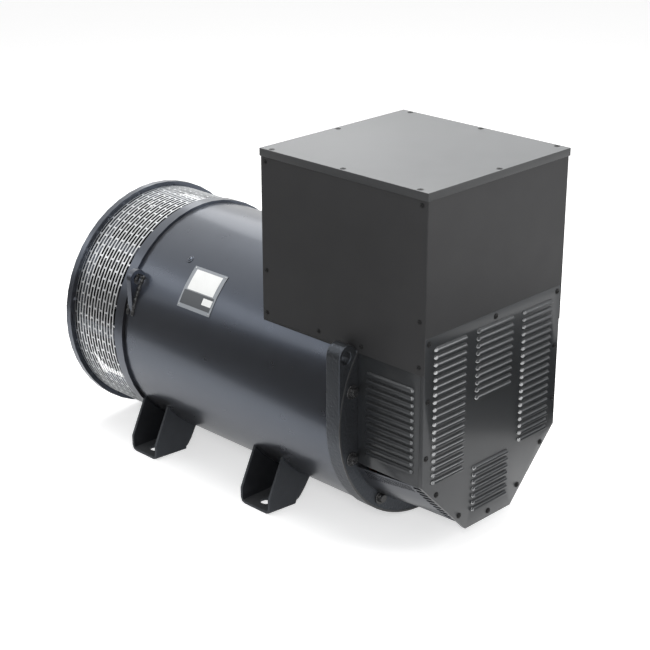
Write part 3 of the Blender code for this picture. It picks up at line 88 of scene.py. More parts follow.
class Bench:
    """The modelling moves that all sub-assemblies share."""

    @staticmethod
    def focus(*pieces: bpy.types.Object) -> None:
        """Selects these pieces alone and makes the last one active.

        Args:
            pieces: the objects to select.
        """
        bpy.ops.object.select_all(action="DESELECT")
        for piece in pieces:
            piece.select_set(True)
            bpy.context.view_layer.objects.active = piece

    @staticmethod
    @contextmanager
    def shaping(piece: bpy.types.Object, mode: str = "FACE") -> Iterator[None]:
        """Holds a piece in edit mode, with nothing selected at first.

        Args:
            piece: the mesh to shape.
            mode: VERT, EDGE or FACE, what is selected in it.
        """
        Bench.focus(piece)
        bpy.ops.object.mode_set(mode="EDIT")
        bpy.ops.mesh.select_mode(type=mode)
        bpy.ops.mesh.select_all(action="DESELECT")
        yield
        bpy.ops.object.mode_set(mode="OBJECT")

    @staticmethod
    def pick_faces(test: FaceTest) -> int:
        """Selects the faces of the piece in edit mode that pass a test, and no others.

        Args:
            test: takes a face's centre and normal.

        Returns:
            How many faces are selected.
        """
        mesh = bpy.context.edit_object.data
        shape = bmesh.from_edit_mesh(mesh)
        shape.normal_update()
        for face in shape.faces:
            face.select_set(False)
        found = [f for f in shape.faces if test(f.calc_center_median(), f.normal)]
        for face in found:
            face.select_set(True)
        bmesh.update_edit_mesh(mesh)
        return len(found)

    @staticmethod
    def pick_edges(test: EdgeTest) -> int:
        """Selects the edges of the piece in edit mode that pass a test, and no others.

        Args:
            test: takes an edge's two ends.

        Returns:
            How many edges are selected.
        """
        mesh = bpy.context.edit_object.data
        shape = bmesh.from_edit_mesh(mesh)
        for part in (*shape.faces, *shape.edges, *shape.verts):
            part.select = False
        found = [e for e in shape.edges if test(e.verts[0].co, e.verts[1].co)]
        for edge in found:
            edge.select_set(True)
        bmesh.update_edit_mesh(mesh)
        return len(found)

    @staticmethod
    def name(piece: bpy.types.Object, name: str) -> bpy.types.Object:
        """Names a piece and its mesh, and returns it."""
        piece.name = name
        piece.data.name = name
        return piece

    @staticmethod
    def settle(piece: bpy.types.Object) -> bpy.types.Object:
        """Puts a piece's place, turn and scale into its mesh, and returns it."""
        Bench.focus(piece)
        bpy.ops.object.transform_apply(location=True, rotation=True, scale=True)
        return piece

    @staticmethod
    def block(name: str, low: Sequence[float], high: Sequence[float]) -> bpy.types.Object:
        """A block between two corners, to be shaped further.

        Args:
            name: the piece's name.
            low: its lowest corner.
            high: its highest corner.

        Returns:
            The new piece.
        """
        centre = [(a + b) / 2 for a, b in zip(low, high)]
        bpy.ops.mesh.primitive_cube_add(size=1, location=centre)
        piece = bpy.context.active_object
        piece.scale = [b - a for a, b in zip(low, high)]
        return Bench.name(Bench.settle(piece), name)

    @staticmethod
    def rod(name: str, radius: float, start: Vector, end: Vector, sides: int) -> bpy.types.Object:
        """A round bar between two points, to be shaped further.

        Args:
            name: the piece's name.
            radius: the bar's radius.
            start: the middle of one end.
            end: the middle of the other end.
            sides: facets around it.

        Returns:
            The new piece.
        """
        run = Vector(end) - Vector(start)
        middle = (Vector(start) + Vector(end)) / 2
        bpy.ops.mesh.primitive_cylinder_add(vertices=sides, radius=radius, depth=run.length, location=middle)
        piece = bpy.context.active_object
        piece.rotation_mode = "QUATERNION"
        piece.rotation_quaternion = run.to_track_quat("Z", "Y")
        return Bench.name(Bench.settle(piece), name)

    @staticmethod
    def path(name: str, points: Sequence[Vector], closed: bool = False) -> bpy.types.Object:
        """A line of edges drawn from point to point by extruding one corner.

        Args:
            name: the piece's name.
            points: the corners in order.
            closed: whether the last corner joins the first.

        Returns:
            The new piece, which has edges alone.
        """
        bpy.ops.mesh.primitive_plane_add(size=0.01, location=(0, 0, 0))
        piece = Bench.name(bpy.context.active_object, name)
        with Bench.shaping(piece, "VERT"):
            bpy.ops.mesh.select_all(action="SELECT")
            bpy.ops.mesh.merge(type="CENTER")
            bpy.ops.transform.translate(value=points[0])
            here = Vector(points[0])
            for point in points[1:]:
                move = {"value": Vector(point) - here}
                bpy.ops.mesh.extrude_region_move(TRANSFORM_OT_translate=move)
                here = Vector(point)
            if closed:
                bpy.ops.mesh.select_all(action="SELECT")
                bpy.ops.mesh.edge_face_add()
        return piece

    @staticmethod
    def turned(name: str, profile: Sequence[tuple[float, float]], sides: int, ring: bool = True) -> bpy.types.Object:
        """A round shape about the shaft axis, spun from a profile.

        Args:
            name: the piece's name.
            profile: its corners as (radius, station).
            sides: facets around it.
            ring: whether the profile closes on itself.

        Returns:
            The new piece, its faces outwards.
        """
        corners = [at(radius, y, 0) for radius, y in profile]
        piece = Bench.path(name, corners + corners[:1] if ring else corners)
        with Bench.shaping(piece, "VERT"):
            bpy.ops.mesh.select_all(action="SELECT")
            bpy.ops.mesh.spin(steps=sides, angle=2 * math.pi, center=(0, 0, SHAFT_HEIGHT), axis=(0, 1, 0))
            bpy.ops.mesh.select_all(action="SELECT")
            bpy.ops.mesh.remove_doubles(threshold=1e-5)
            bpy.ops.mesh.normals_make_consistent(inside=False)
        return piece

    @staticmethod
    def apply(piece: bpy.types.Object, kind: str, **settings: Any) -> bpy.types.Object:
        """Adds a modifier with these settings, applies it, and returns the piece.

        Args:
            piece: the mesh to finish.
            kind: the modifier's type.
            settings: its properties by name.

        Returns:
            The same piece.
        """
        Bench.focus(piece)
        modifier = piece.modifiers.new(kind.title(), kind)
        for key, value in settings.items():
            setattr(modifier, key, value)
        bpy.ops.object.modifier_apply(modifier=modifier.name)
        return piece

    @staticmethod
    def cut(piece: bpy.types.Object, cutter: bpy.types.Object) -> bpy.types.Object:
        """Takes one shape out of another and clears it away.

        Args:
            piece: the shape that is cut.
            cutter: the shape of what is taken out.

        Returns:
            The piece that was cut.
        """
        Bench.apply(piece, "BOOLEAN", object=cutter, operation="DIFFERENCE", solver="EXACT")
        bpy.data.objects.remove(cutter)
        return piece

    @staticmethod
    def copy(piece: bpy.types.Object, name: str, move: Matrix) -> bpy.types.Object:
        """A copy with its own mesh, moved to its place.

        Args:
            piece: the modelled original.
            name: the copy's name.
            move: where the copy goes.

        Returns:
            The copy.
        """
        other = piece.copy()
        other.data = piece.data.copy()
        bpy.context.scene.collection.objects.link(other)
        other.data.transform(move)
        return Bench.name(other, name)

    @staticmethod
    def repeated(piece: bpy.types.Object, name: str, moves: Sequence[Matrix]) -> bpy.types.Object:
        """One piece made of copies of a small one, which itself goes.

        Args:
            piece: the modelled original.
            name: the joined piece's name.
            moves: where each copy goes.

        Returns:
            The joined piece.
        """
        copies = [Bench.copy(piece, name, move) for move in moves]
        bpy.data.objects.remove(piece)
        return Bench.joined(name, copies)

    @staticmethod
    def joined(name: str, pieces: Sequence[bpy.types.Object]) -> bpy.types.Object:
        """Joins pieces into one of this name, and returns it."""
        Bench.focus(*pieces)
        if len(pieces) > 1:
            bpy.ops.object.join()
        return Bench.name(bpy.context.view_layer.objects.active, name)

    @staticmethod
    def soften(piece: bpy.types.Object, width: float, angle: float = 40.0, segments: int = 2) -> bpy.types.Object:
        """Rounds the sharp edges and smooths the rest.

        Args:
            piece: the mesh to finish.
            width: the rounding's width, or 0 for none.
            angle: edges sharper than this are rounded, in degrees.
            segments: faces across the rounding.

        Returns:
            The same piece.
        """
        if width:
            Bench.apply(
                piece,
                "BEVEL",
                width=width,
                segments=segments,
                limit_method="ANGLE",
                angle_limit=math.radians(angle),
                use_clamp_overlap=True,
            )
        Bench.focus(piece)
        bpy.ops.object.shade_smooth_by_angle(angle=math.radians(angle))
        if width:
            Bench.apply(piece, "WEIGHTED_NORMAL", keep_sharp=True)
        return piece


def at(x: float, y: float, z: float) -> Vector:
    """A point given across, along and above the shaft, with its stations counted from the rear plate."""
    return Vector((x, y + REAR_Y, z + SHAFT_HEIGHT))


def polar(radius: float, degrees: float, y: float) -> Vector:
    """The point at this radius and angle, from +X towards +Z about the shaft, at this station."""
    turn = math.radians(degrees)
    return at(radius * math.cos(turn), y, radius * math.sin(turn))


def about_shaft(degrees: float) -> Matrix:
    """Turns a shape about the shaft axis, from +X towards +Z."""
    centre = Vector((0, 0, SHAFT_HEIGHT))
    turn = Matrix.Rotation(-math.radians(degrees), 4, "Y")
    return Matrix.Translation(centre) @ turn @ Matrix.Translation(-centre)


def facing(place: Vector, outwards: Vector) -> Matrix:
    """Puts a shape made about +Z at a place, with its Z turned outwards."""
    return Matrix.Translation(place) @ outwards.to_track_quat("Z", "Y").to_matrix().to_4x4()


def linear(colour: str) -> tuple[float, float, float, float]:
    """Turns an sRGB hex colour into the linear one that shaders take.

    Args:
        colour: six hex digits after a hash sign.

    Returns:
        Red, green, blue and an opaque alpha.
    """
    parts = [int(colour[i : i + 2], 16) / 255 for i in (1, 3, 5)]
    red, green, blue = (c / 12.92 if c <= 0.04045 else ((c + 0.055) / 1.055) ** 2.4 for c in parts)
    return red, green, blue, 1.0


def add_node(tree: bpy.types.NodeTree, kind: str, settings: dict[str, Any], links: dict[Any, Any]) -> bpy.types.Node:
    """Adds one node with its settings, constants and links.

    Args:
        tree: the material's node tree.
        kind: the node's type name.
        settings: its properties by name.
        links: for each input, by name or number, a constant or the socket that feeds it.

    Returns:
        The new node.
    """
    node = tree.nodes.new(kind)
    for key, value in settings.items():
        setattr(node, key, value)
    for key, value in links.items():
        if isinstance(value, bpy.types.NodeSocket):
            tree.links.new(value, node.inputs[key])
        else:
            node.inputs[key].default_value = value
    return node


def bands(pitch: float) -> float:
    """The Wave texture's scale for this spacing, since one wave of it spans pi / 10 metres at a scale of one."""
    return math.pi / 10 / pitch


@dataclass(frozen=True)
class Finish:
    """One surface: what it is made of, and how it was made."""

    name: str
    colour: str
    shade: str
    roughness: float
    metallic: float = 0.0
    coat: float = 0.0
    coat_roughness: float = 0.1
    specular: float = 0.5
    # Tint of the specular reflection; a bluish tint below is a painted blue cast on the reflections.
    painted_reflection_tint: str = "#ffffff"
    grain: float = 3 * MM
    relief: float = 0.05 * MM
    clouds: float = 90 * MM
    spread: float = 0.05

    def dress(self) -> bpy.types.Material:
        """Builds the material.

        Returns:
            The material, ready for a slot.
        """
        material = bpy.data.materials.new(self.name)
        material.use_nodes = True
        tree = material.node_tree
        shader = tree.nodes["Principled BSDF"]
        shader.inputs["Metallic"].default_value = self.metallic
        shader.inputs["Specular IOR Level"].default_value = self.specular
        # Specular tint: where it is bluish, a painted blue cast on the reflections.
        shader.inputs["Specular Tint"].default_value = linear(self.painted_reflection_tint)
        shader.inputs["Coat Weight"].default_value = self.coat
        shader.inputs["Coat Roughness"].default_value = self.coat_roughness
        place = add_node(tree, "ShaderNodeTexCoord", {}, {}).outputs["Object"]
        colour, roughness, height = self.surface(tree, place)
        relief = {"Height": height, "Distance": self.relief, "Strength": 1.0}
        bump = add_node(tree, "ShaderNodeBump", {}, relief)
        tree.links.new(colour, shader.inputs["Base Color"])
        tree.links.new(roughness, shader.inputs["Roughness"])
        tree.links.new(bump.outputs["Normal"], shader.inputs["Normal"])
        return material

    def surface(self, tree: bpy.types.NodeTree, place: bpy.types.NodeSocket) -> tuple[bpy.types.NodeSocket, ...]:
        """Draws the finish's own pattern.

        Args:
            tree: the material's node tree.
            place: object coordinates in metres.

        Returns:
            The sockets of colour, roughness and height.
        """
        cloud = self.noise(tree, place, self.clouds, 3.0)
        colour = self.blend(tree, cloud, self.colour, self.shade)
        grain = self.noise(tree, place, self.grain, 2.0)
        return colour, self.vary(tree, cloud), grain

    def noise(self, tree: bpy.types.NodeTree, place: bpy.types.NodeSocket, size: float, detail: float) -> bpy.types.NodeSocket:
        """Irregular patches of this real size, from 0 to 1.

        Args:
            tree: the material's node tree.
            place: the coordinates to read.
            size: a patch's width in metres.
            detail: how many finer layers it holds.

        Returns:
            The socket of the pattern.
        """
        links = {"Vector": place, "Scale": 1 / size, "Detail": detail}
        return add_node(tree, "ShaderNodeTexNoise", {}, links).outputs["Fac"]

    def blend(self, tree: bpy.types.NodeTree, factor: bpy.types.NodeSocket, colour: Any, shade: Any) -> bpy.types.NodeSocket:
        """Blends two colours by a pattern.

        Args:
            tree: the material's node tree.
            factor: 0 for the first colour, 1 for the second.
            colour: hex digits or a socket.
            shade: hex digits or a socket.

        Returns:
            The socket of the blended colour.
        """
        first, second = (linear(c) if isinstance(c, str) else c for c in (colour, shade))
        links = {"Factor": factor, "A": first, "B": second}
        mix = tree.nodes.new("ShaderNodeMix")
        mix.data_type = "RGBA"
        sockets = {"Factor": mix.inputs[0], "A": mix.inputs[6], "B": mix.inputs[7]}
        for key, value in links.items():
            if isinstance(value, bpy.types.NodeSocket):
                tree.links.new(value, sockets[key])
            else:
                sockets[key].default_value = value
        return mix.outputs[2]

    def vary(self, tree: bpy.types.NodeTree, pattern: bpy.types.NodeSocket) -> bpy.types.NodeSocket:
        """The roughness, spread about its middle by a pattern.

        Args:
            tree: the material's node tree.
            pattern: the pattern from 0 to 1.

        Returns:
            The socket of the roughness.
        """
        ends = {"Value": pattern, 3: self.roughness - self.spread, 4: self.roughness + self.spread}
        return add_node(tree, "ShaderNodeMapRange", {}, ends).outputs["Result"]


@dataclass(frozen=True)
class SprayedEnamel(Finish):
    """Satin enamel sprayed on sheet steel: soft sheen, fine orange peel, and on what faces up dusting with painted
    top light.
    """

    # The pale film's colour and its greatest share on what faces up: partly dusting, partly painted top light.
    dust_and_top_light: str = "#9a9c9d"
    film: float = 0.12

    def surface(self, tree: bpy.types.NodeTree, place: bpy.types.NodeSocket) -> tuple[bpy.types.NodeSocket, ...]:
        """Draws the enamel's tone, its dusting with painted top light, and its orange peel."""
        cloud = self.noise(tree, place, self.clouds, 4.0)
        paint = self.blend(tree, cloud, self.colour, self.shade)
        # Painted top light with dusting: faces that look up are drawn towards the pale colour.
        normal = add_node(tree, "ShaderNodeNewGeometry", {}, {}).outputs["Normal"]
        upward = add_node(tree, "ShaderNodeSeparateXYZ", {}, {0: normal}).outputs["Z"]
        dust_and_top_light_mask = add_node(tree, "ShaderNodeMapRange", {}, {"Value": upward, 1: 0.55, 2: 1.0, 3: 0.0, 4: self.film})
        speck = self.noise(tree, place, 60 * MM, 5.0)
        even = add_node(tree, "ShaderNodeMapRange", {}, {"Value": speck, 3: 0.85, 4: 1.15})
        share = {0: dust_and_top_light_mask.outputs["Result"], 1: even.outputs["Result"]}
        dust_and_top_light_share = add_node(tree, "ShaderNodeMath", {"operation": "MULTIPLY"}, share).outputs["Value"]
        colour = self.blend(tree, dust_and_top_light_share, paint, self.dust_and_top_light)
        peel = self.noise(tree, place, self.grain, 2.0)
        return colour, self.vary(tree, speck), peel


@dataclass(frozen=True)
class SandCasting(Finish):
    """Painted or bare casting: the sand's grain stands in its skin, with a few pits."""

    pits: float = 9 * MM

    def surface(self, tree: bpy.types.NodeTree, place: bpy.types.NodeSocket) -> tuple[bpy.types.NodeSocket, ...]:
        """Draws the casting's skin, grain and pits."""
        skin = self.noise(tree, place, self.clouds, 5.0)
        colour = self.blend(tree, skin, self.colour, self.shade)
        grain = self.noise(tree, place, self.grain, 6.0)
        cells = {"Vector": place, "Scale": 1 / self.pits}
        pit = add_node(tree, "ShaderNodeTexVoronoi", {"feature": "SMOOTH_F1"}, cells).outputs["Distance"]
        deep = add_node(tree, "ShaderNodeMapRange", {}, {"Value": pit, 1: 0.0, 2: 0.45, 3: -0.8, 4: 0.0})
        both = {0: grain, 1: deep.outputs["Result"]}
        height = add_node(tree, "ShaderNodeMath", {"operation": "ADD"}, both).outputs["Value"]
        return colour, self.vary(tree, grain), height


@dataclass(frozen=True)
class ZincCoat(Finish):
    """Hot-dip zinc: flat crystals of slightly different greys, each with its own gloss."""

    crystal: float = 12 * MM

    def surface(self, tree: bpy.types.NodeTree, place: bpy.types.NodeSocket) -> tuple[bpy.types.NodeSocket, ...]:
        """Draws the crystals and the coat's ripple."""
        cells = {"Vector": place, "Scale": 1 / self.crystal, "Randomness": 1.0}
        tone = add_node(tree, "ShaderNodeTexVoronoi", {"feature": "F1"}, cells).outputs["Color"]
        one = add_node(tree, "ShaderNodeSeparateColor", {}, {0: tone}).outputs[0]
        colour = self.blend(tree, one, self.colour, self.shade)
        ripple = self.noise(tree, place, self.grain, 3.0)
        return colour, self.vary(tree, one), ripple


@dataclass(frozen=True)
class Lathed(Finish):
    """Turned steel: fine concentric tool marks about the shaft, drawn 1.5 mm apart so that they show."""

    def surface(self, tree: bpy.types.NodeTree, place: bpy.types.NodeSocket) -> tuple[bpy.types.NodeSocket, ...]:
        """Draws the tool marks."""
        centred = {"Vector": place, "Location": (0.0, 0.0, -SHAFT_HEIGHT)}
        axis = add_node(tree, "ShaderNodeMapping", {}, centred).outputs["Vector"]
        rings = {"Vector": axis, "Scale": bands(self.grain), "Distortion": 0.2}
        style = {"wave_type": "RINGS", "rings_direction": "Y"}
        mark = add_node(tree, "ShaderNodeTexWave", style, rings).outputs["Fac"]
        cloud = self.noise(tree, place, self.clouds, 3.0)
        return self.blend(tree, cloud, self.colour, self.shade), self.vary(tree, mark), mark


@dataclass(frozen=True)
class Stacked(Finish):
    """Thin layers side by side along the shaft: steel laminations or wires, drawn coarse enough to show."""

    wander: float = 0.6

    def surface(self, tree: bpy.types.NodeTree, place: bpy.types.NodeSocket) -> tuple[bpy.types.NodeSocket, ...]:
        """Draws the layers."""
        lines = {"Vector": place, "Scale": bands(self.grain), "Distortion": self.wander, "Detail Scale": 2.0}
        style = {"wave_type": "BANDS", "bands_direction": "Y"}
        layer = add_node(tree, "ShaderNodeTexWave", style, lines).outputs["Fac"]
        return self.blend(tree, layer, self.shade, self.colour), self.vary(tree, layer), layer


FINISHES: dict[str, Finish] = {
    "body_paint": SprayedEnamel(
        "satin_black_enamel_on_rolled_steel",
        "#1d1c1c",
        "#222121",
        0.29,
        coat=0.4,
        coat_roughness=0.16,
        specular=1.0,
        # Bluish specular tint: a painted blue cast on the body's reflections.
        painted_reflection_tint="#bdd1f2",
        relief=0.06 * MM,
        grain=5 * MM,
        # A faint pale film on the body's top: dusting and painted top light.
        film=0.09,
    ),
    "box_paint": SprayedEnamel(
        "textured_black_enamel_on_sheet_steel",
        "#272728",
        "#2d2d2e",
        0.5,
        specular=0.26,
        relief=0.05 * MM,
        grain=1.6 * MM,
    ),
    "casting": SandCasting(
        "black_enamel_on_cast_iron",
        "#1b1b1c",
        "#252627",
        0.38,
        specular=0.9,
        painted_reflection_tint="#ccd7e8",
        relief=0.6 * MM,
        grain=6 * MM,
        clouds=40 * MM,
    ),
    "machined_steel": Lathed(
        "turned_mild_steel", "#8f9193", "#a3a5a7", 0.3, metallic=1.0, grain=1.5 * MM, relief=0.02 * MM
    ),
    "lamination_steel": Stacked(
        "stacked_silicon_steel", "#6f7276", "#4b4d50", 0.45, metallic=0.8, grain=2 * MM, relief=0.2 * MM
    ),
    "copper_winding": Stacked(
        "varnished_copper_wire", "#a5532a", "#5e2c17", 0.3, metallic=0.6, coat=0.6, grain=3 * MM, relief=0.5 * MM
    ),
    "galvanised_sheet": ZincCoat(
        "hot_dip_galvanised_sheet", "#d3d5d6", "#bfc1c3", 0.44, metallic=1.0, spread=0.08, grain=8 * MM
    ),
    "zinc_plate": ZincCoat(
        "bright_zinc_plated_steel", "#b4b5b5", "#96989a", 0.3, metallic=1.0, crystal=3 * MM, grain=2 * MM
    ),
    # Painted shade: the fan's aluminium is coloured dark grey, so that it reads as shaded inside the air screen.
    "fan_alloy": SandCasting(
        "cast_aluminium", "#4a4b4d", "#3a3b3d", 0.55, metallic=1.0, relief=0.3 * MM, grain=3 * MM
    ),
    "cage_brass": Lathed("turned_brass", "#b08d4a", "#8f6f35", 0.3, metallic=1.0, grain=1.5 * MM, relief=0.02 * MM),
    "insulating_board": Finish("glass_fibre_laminate", "#b9ad82", "#a3956a", 0.5, grain=1.5 * MM, clouds=20 * MM),
    "black_plastic": Finish("moulded_black_plastic", "#1c1c1d", "#232324", 0.45, grain=1.2 * MM, clouds=30 * MM),
    "plate_label": Finish("satin_anodised_plate", "#7c8085", "#868a8f", 0.35, grain=1 * MM, relief=0.01 * MM),
}

WHITE_FILM = Finish("white_printed_film", "#dfe0df", "#d3d4d3", 0.4, grain=2 * MM, relief=0.01 * MM, clouds=30 * MM)
WELD = SandCasting("painted_weld_bead", "#1f1f20", "#2d2e2f", 0.38, relief=0.4 * MM, grain=3 * MM, pits=5 * MM)
REAR_ENAMEL = SprayedEnamel(
    "satin_black_enamel_on_pressed_sheet",
    "#1f2021",
    "#252627",
    0.42,
    coat=0.6,
    coat_roughness=0.18,
    specular=0.3,
    painted_reflection_tint="#dde4ee",
    relief=0.03 * MM,
    grain=3 * MM,
)
# The lid's top carries the strongest pale film: dusting and painted top light.
LID_ENAMEL = SprayedEnamel(
    "black_enamel_on_lid_with_dust_and_painted_top_light",
    "#27282a",
    "#2c2d2e",
    0.5,
    coat=0.3,
    coat_roughness=0.4,
    specular=0.3,
    relief=0.03 * MM,
    grain=2 * MM,
    film=0.32,
)
FOOT_ENAMEL = SprayedEnamel(
    "scuffed_black_enamel_on_plate",
    "#1c1d1f",
    "#2a2b2e",
    0.4,
    specular=0.6,
    painted_reflection_tint="#d4deeb",
    relief=0.12 * MM,
    grain=4 * MM,
    clouds=25 * MM,
)
# Painted highlight: the register edge's enamel is paler than the casting, so that it reads as a bright line.
EDGE_IRON_WITH_PAINTED_HIGHLIGHT = SandCasting(
    "enamelled_machined_edge_with_painted_highlight", "#2a2b2c", "#3a3b3c", 0.3, specular=0.8, relief=0.05 * MM, grain=2 * MM, clouds=20 * MM
)
DISC_STEEL = Finish("oiled_spring_steel", "#4b4c4e", "#5a5b5d", 0.45, metallic=1.0, grain=2 * MM, relief=0.01 * MM)
BLACKENED = ZincCoat(
    "black_oxide_on_steel", "#0c0c0d", "#080809", 0.38, specular=0.2, crystal=2 * MM, grain=1.5 * MM, relief=0.02 * MM
)

PHOSPHATED = ZincCoat(
    "phosphated_steel", "#2a2a2b", "#1a1a1b", 0.26, specular=0.9, crystal=2 * MM, grain=1.5 * MM, relief=0.02 * MM
)
DARK_FILM = Finish("dark_printed_film", "#3a3d41", "#404347", 0.4, grain=2 * MM, relief=0.01 * MM, clouds=30 * MM)


class Palette:
    """Makes each finish once and puts it on pieces."""

    def __init__(self) -> None:
        """Starts with no material made."""
        self.made: dict[str, bpy.types.Material] = {}

    def material(self, finish: Finish) -> bpy.types.Material:
        """The material of this finish, made at its first use."""
        if finish.name not in self.made:
            self.made[finish.name] = finish.dress()
        return self.made[finish.name]

    def paint(self, piece: bpy.types.Object, slot: str, finish: Finish | None = None) -> bpy.types.Object:
        """Gives a new piece its finish.

        Args:
            piece: the piece.
            slot: the record's material slot.
            finish: another finish than that slot's own.

        Returns:
            The same piece.
        """
        piece.data.materials.clear()
        piece.data.materials.append(self.material(finish or FINISHES[slot]))
        return piece

    def paint_node(self, node: bpy.types.Object, slot: str) -> None:
        """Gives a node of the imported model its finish, in the slots that it has."""
        for holder in node.material_slots:
            holder.material = self.material(FINISHES[slot])


@dataclass
class Softbox:
    """One rectangular studio lamp."""

    name: str
    place: tuple[float, float, float]
    aim: tuple[float, float, float]
    width: float
    height: float
    power: float


@dataclass
class Card:
    """One dark card, seen only in the enamel, which darkens a part of what it mirrors."""

    name: str
    place: tuple[float, float, float]
    aim: tuple[float, float, float]
    width: float
    height: float
    board: str = "#0c0c0c"


@dataclass
class Studio:
    """Pale floor, white surroundings, softboxes, black cards, and the camera at the photograph's angle."""

    camera_place: tuple[float, float, float] = (-3.015, -3.0283, 2.1335)
    yaw: float = 45.55
    pitch: float = 21.79
    roll: float = -0.10
    lens: float = 88.6
    floor_size: float = 60.0
    floor_colour: str = "#e6e6e6"
    floor_glow: float = 0.55
    ambient: float = 0.42
    lamps: list[Softbox] = field(
        default_factory=lambda: [
            Softbox("overhead_softbox", (0.3, 0.2, 3.6), (0.0, 0.0, 0.6), 3.0, 3.0, 150.0),
            Softbox("rear_softbox", (2.1, 2.6, 2.5), (0.0, 0.0, 0.6), 1.4, 1.4, 8.5),
            Softbox("left_strip", (-1.9, 2.3, 1.95), (0.0, 0.0, 0.5), 2.4, 0.5, 5.5),
            Softbox("key_lamp", (-3.0, -2.9, 2.55), (0.0, 0.0, 0.5), 0.8, 0.8, 50.0),
            Softbox("right_softbox", (2.2, -3.6, 2.1), (0.0, -0.4, 0.5), 1.6, 1.8, 74.0),
        ]
    )
    cards: list[Card] = field(
        default_factory=lambda: [
            Card("left_card", (-1.05, 0.95, 0.415), (0.25, 1.35, 0.415), 2.8, 0.77, "#7d7b79"),
            Card("right_card", (0.42, -1.10, 0.22), (0.0, -0.68, 0.22), 1.3, 0.40),
        ]
    )

    def build(self) -> None:
        """Builds the whole studio."""
        self.set_view()
        self.lay_floor()
        self.fill_world()
        for lamp in self.lamps:
            self.hang(lamp)
        for card in self.cards:
            self.stand(card)
        self.place_camera()

    def set_view(self) -> None:
        """Shows colours as they are written."""
        bpy.context.scene.view_settings.view_transform = "Standard"

    def white_to_viewer(self, tree: bpy.types.NodeTree, shown: bpy.types.NodeSocket, output: str) -> None:
        """Shows plain white to the camera, to reflections and through glass.

        Args:
            tree: the floor's or the world's node tree.
            shown: the shader that lights and catches shadows.
            output: the tree's output node.
        """
        rays = add_node(tree, "ShaderNodeLightPath", {}, {})
        seen = {0: rays.outputs["Is Camera Ray"], 1: rays.outputs["Is Glossy Ray"]}
        either = add_node(tree, "ShaderNodeMath", {"operation": "MAXIMUM"}, seen).outputs["Value"]
        through = {0: either, 1: rays.outputs["Is Transmission Ray"]}
        any_ray = add_node(tree, "ShaderNodeMath", {"operation": "MAXIMUM"}, through).outputs["Value"]
        white = add_node(tree, "ShaderNodeEmission", {}, {"Color": (1, 1, 1, 1), "Strength": 1.0}).outputs[0]
        mix = add_node(tree, "ShaderNodeMixShader", {}, {0: any_ray, 1: shown, 2: white})
        tree.links.new(mix.outputs[0], tree.nodes[output].inputs["Surface"])

    def lay_floor(self) -> None:
        """Lays the pale floor, which is white but for the object's shadow."""
        bpy.ops.mesh.primitive_plane_add(size=self.floor_size, location=(0, 0, 0))
        floor = bpy.context.active_object
        floor.name = "floor"
        material = bpy.data.materials.new("matt_white_floor")
        material.use_nodes = True
        tree = material.node_tree
        shader = tree.nodes["Principled BSDF"]
        shader.inputs["Base Color"].default_value = linear(self.floor_colour)
        shader.inputs["Roughness"].default_value = 0.9
        shader.inputs["Emission Color"].default_value = (1, 1, 1, 1)
        rays = add_node(tree, "ShaderNodeLightPath", {}, {}).outputs
        mirrored = {0: rays["Is Glossy Ray"], 1: 0.58}
        half = add_node(tree, "ShaderNodeMath", {"operation": "MULTIPLY"}, mirrored).outputs["Value"]
        seen = add_node(tree, "ShaderNodeMath", {"operation": "ADD"}, {0: rays["Is Camera Ray"], 1: half})
        share = {0: seen.outputs["Value"], 1: self.floor_glow}
        glow = add_node(tree, "ShaderNodeMath", {"operation": "MULTIPLY"}, share)
        tree.links.new(glow.outputs["Value"], shader.inputs["Emission Strength"])
        floor.data.materials.append(material)

    def fill_world(self) -> None:
        """Fills the surroundings: soft light on the object, white to the camera."""
        world = bpy.data.worlds.new("studio_surroundings")
        bpy.context.scene.world = world
        world.use_nodes = True
        tree = world.node_tree
        shown = tree.nodes["Background"]
        shown.inputs["Color"].default_value = (1, 1, 1, 1)
        shown.inputs["Strength"].default_value = self.ambient
        self.white_to_viewer(tree, shown.outputs[0], "World Output")

    def hang(self, lamp: Softbox) -> None:
        """Hangs one softbox, aimed at its mark.

        Args:
            lamp: the softbox.
        """
        bpy.ops.object.light_add(type="AREA", location=lamp.place)
        light = bpy.context.active_object
        light.name = lamp.name
        light.data.shape = "RECTANGLE"
        light.data.size = lamp.width
        light.data.size_y = lamp.height
        light.data.energy = lamp.power
        light.visible_camera = False
        run = Vector(lamp.aim) - Vector(lamp.place)
        light.rotation_euler = run.to_track_quat("-Z", "Y").to_euler()

    def stand(self, card: Card) -> None:
        """Stands one card beside the object, unseen by the camera.

        Args:
            card: the card.
        """
        bpy.ops.mesh.primitive_plane_add(size=1, location=card.place)
        sheet = Bench.name(bpy.context.active_object, card.name)
        sheet.scale = (card.width, card.height, 1)
        run = Vector(card.aim) - Vector(card.place)
        sheet.rotation_euler = run.to_track_quat("Z", "Y").to_euler()
        sheet.visible_camera = False
        sheet.visible_diffuse = False
        sheet.visible_shadow = False
        sheet.data.materials.append(self.card_board(card))

    def card_board(self, card: Card) -> bpy.types.Material:
        """A card's matt board."""
        material = bpy.data.materials.new("matt_board_of_" + card.name)
        material.use_nodes = True
        shader = material.node_tree.nodes["Principled BSDF"]
        shader.inputs["Base Color"].default_value = linear(card.board)
        shader.inputs["Roughness"].default_value = 0.95
        shader.inputs["Specular IOR Level"].default_value = 0.1
        return material

    def place_camera(self) -> None:
        """Places the camera where the photograph was taken from."""
        bpy.ops.object.camera_add(location=self.camera_place)
        camera = bpy.context.active_object
        camera.name = "camera"
        camera.data.lens = self.lens
        camera.data.sensor_width = 36.0
        camera.data.clip_end = 100.0
        tilt = Matrix.Rotation(math.radians(90 - self.pitch), 4, "X")
        heading = Matrix.Rotation(math.radians(-self.yaw), 4, "Z")
        level = Matrix.Rotation(math.radians(self.roll), 4, "Z")
        camera.rotation_euler = (heading @ tilt @ level).to_euler()
        bpy.context.scene.camera = camera


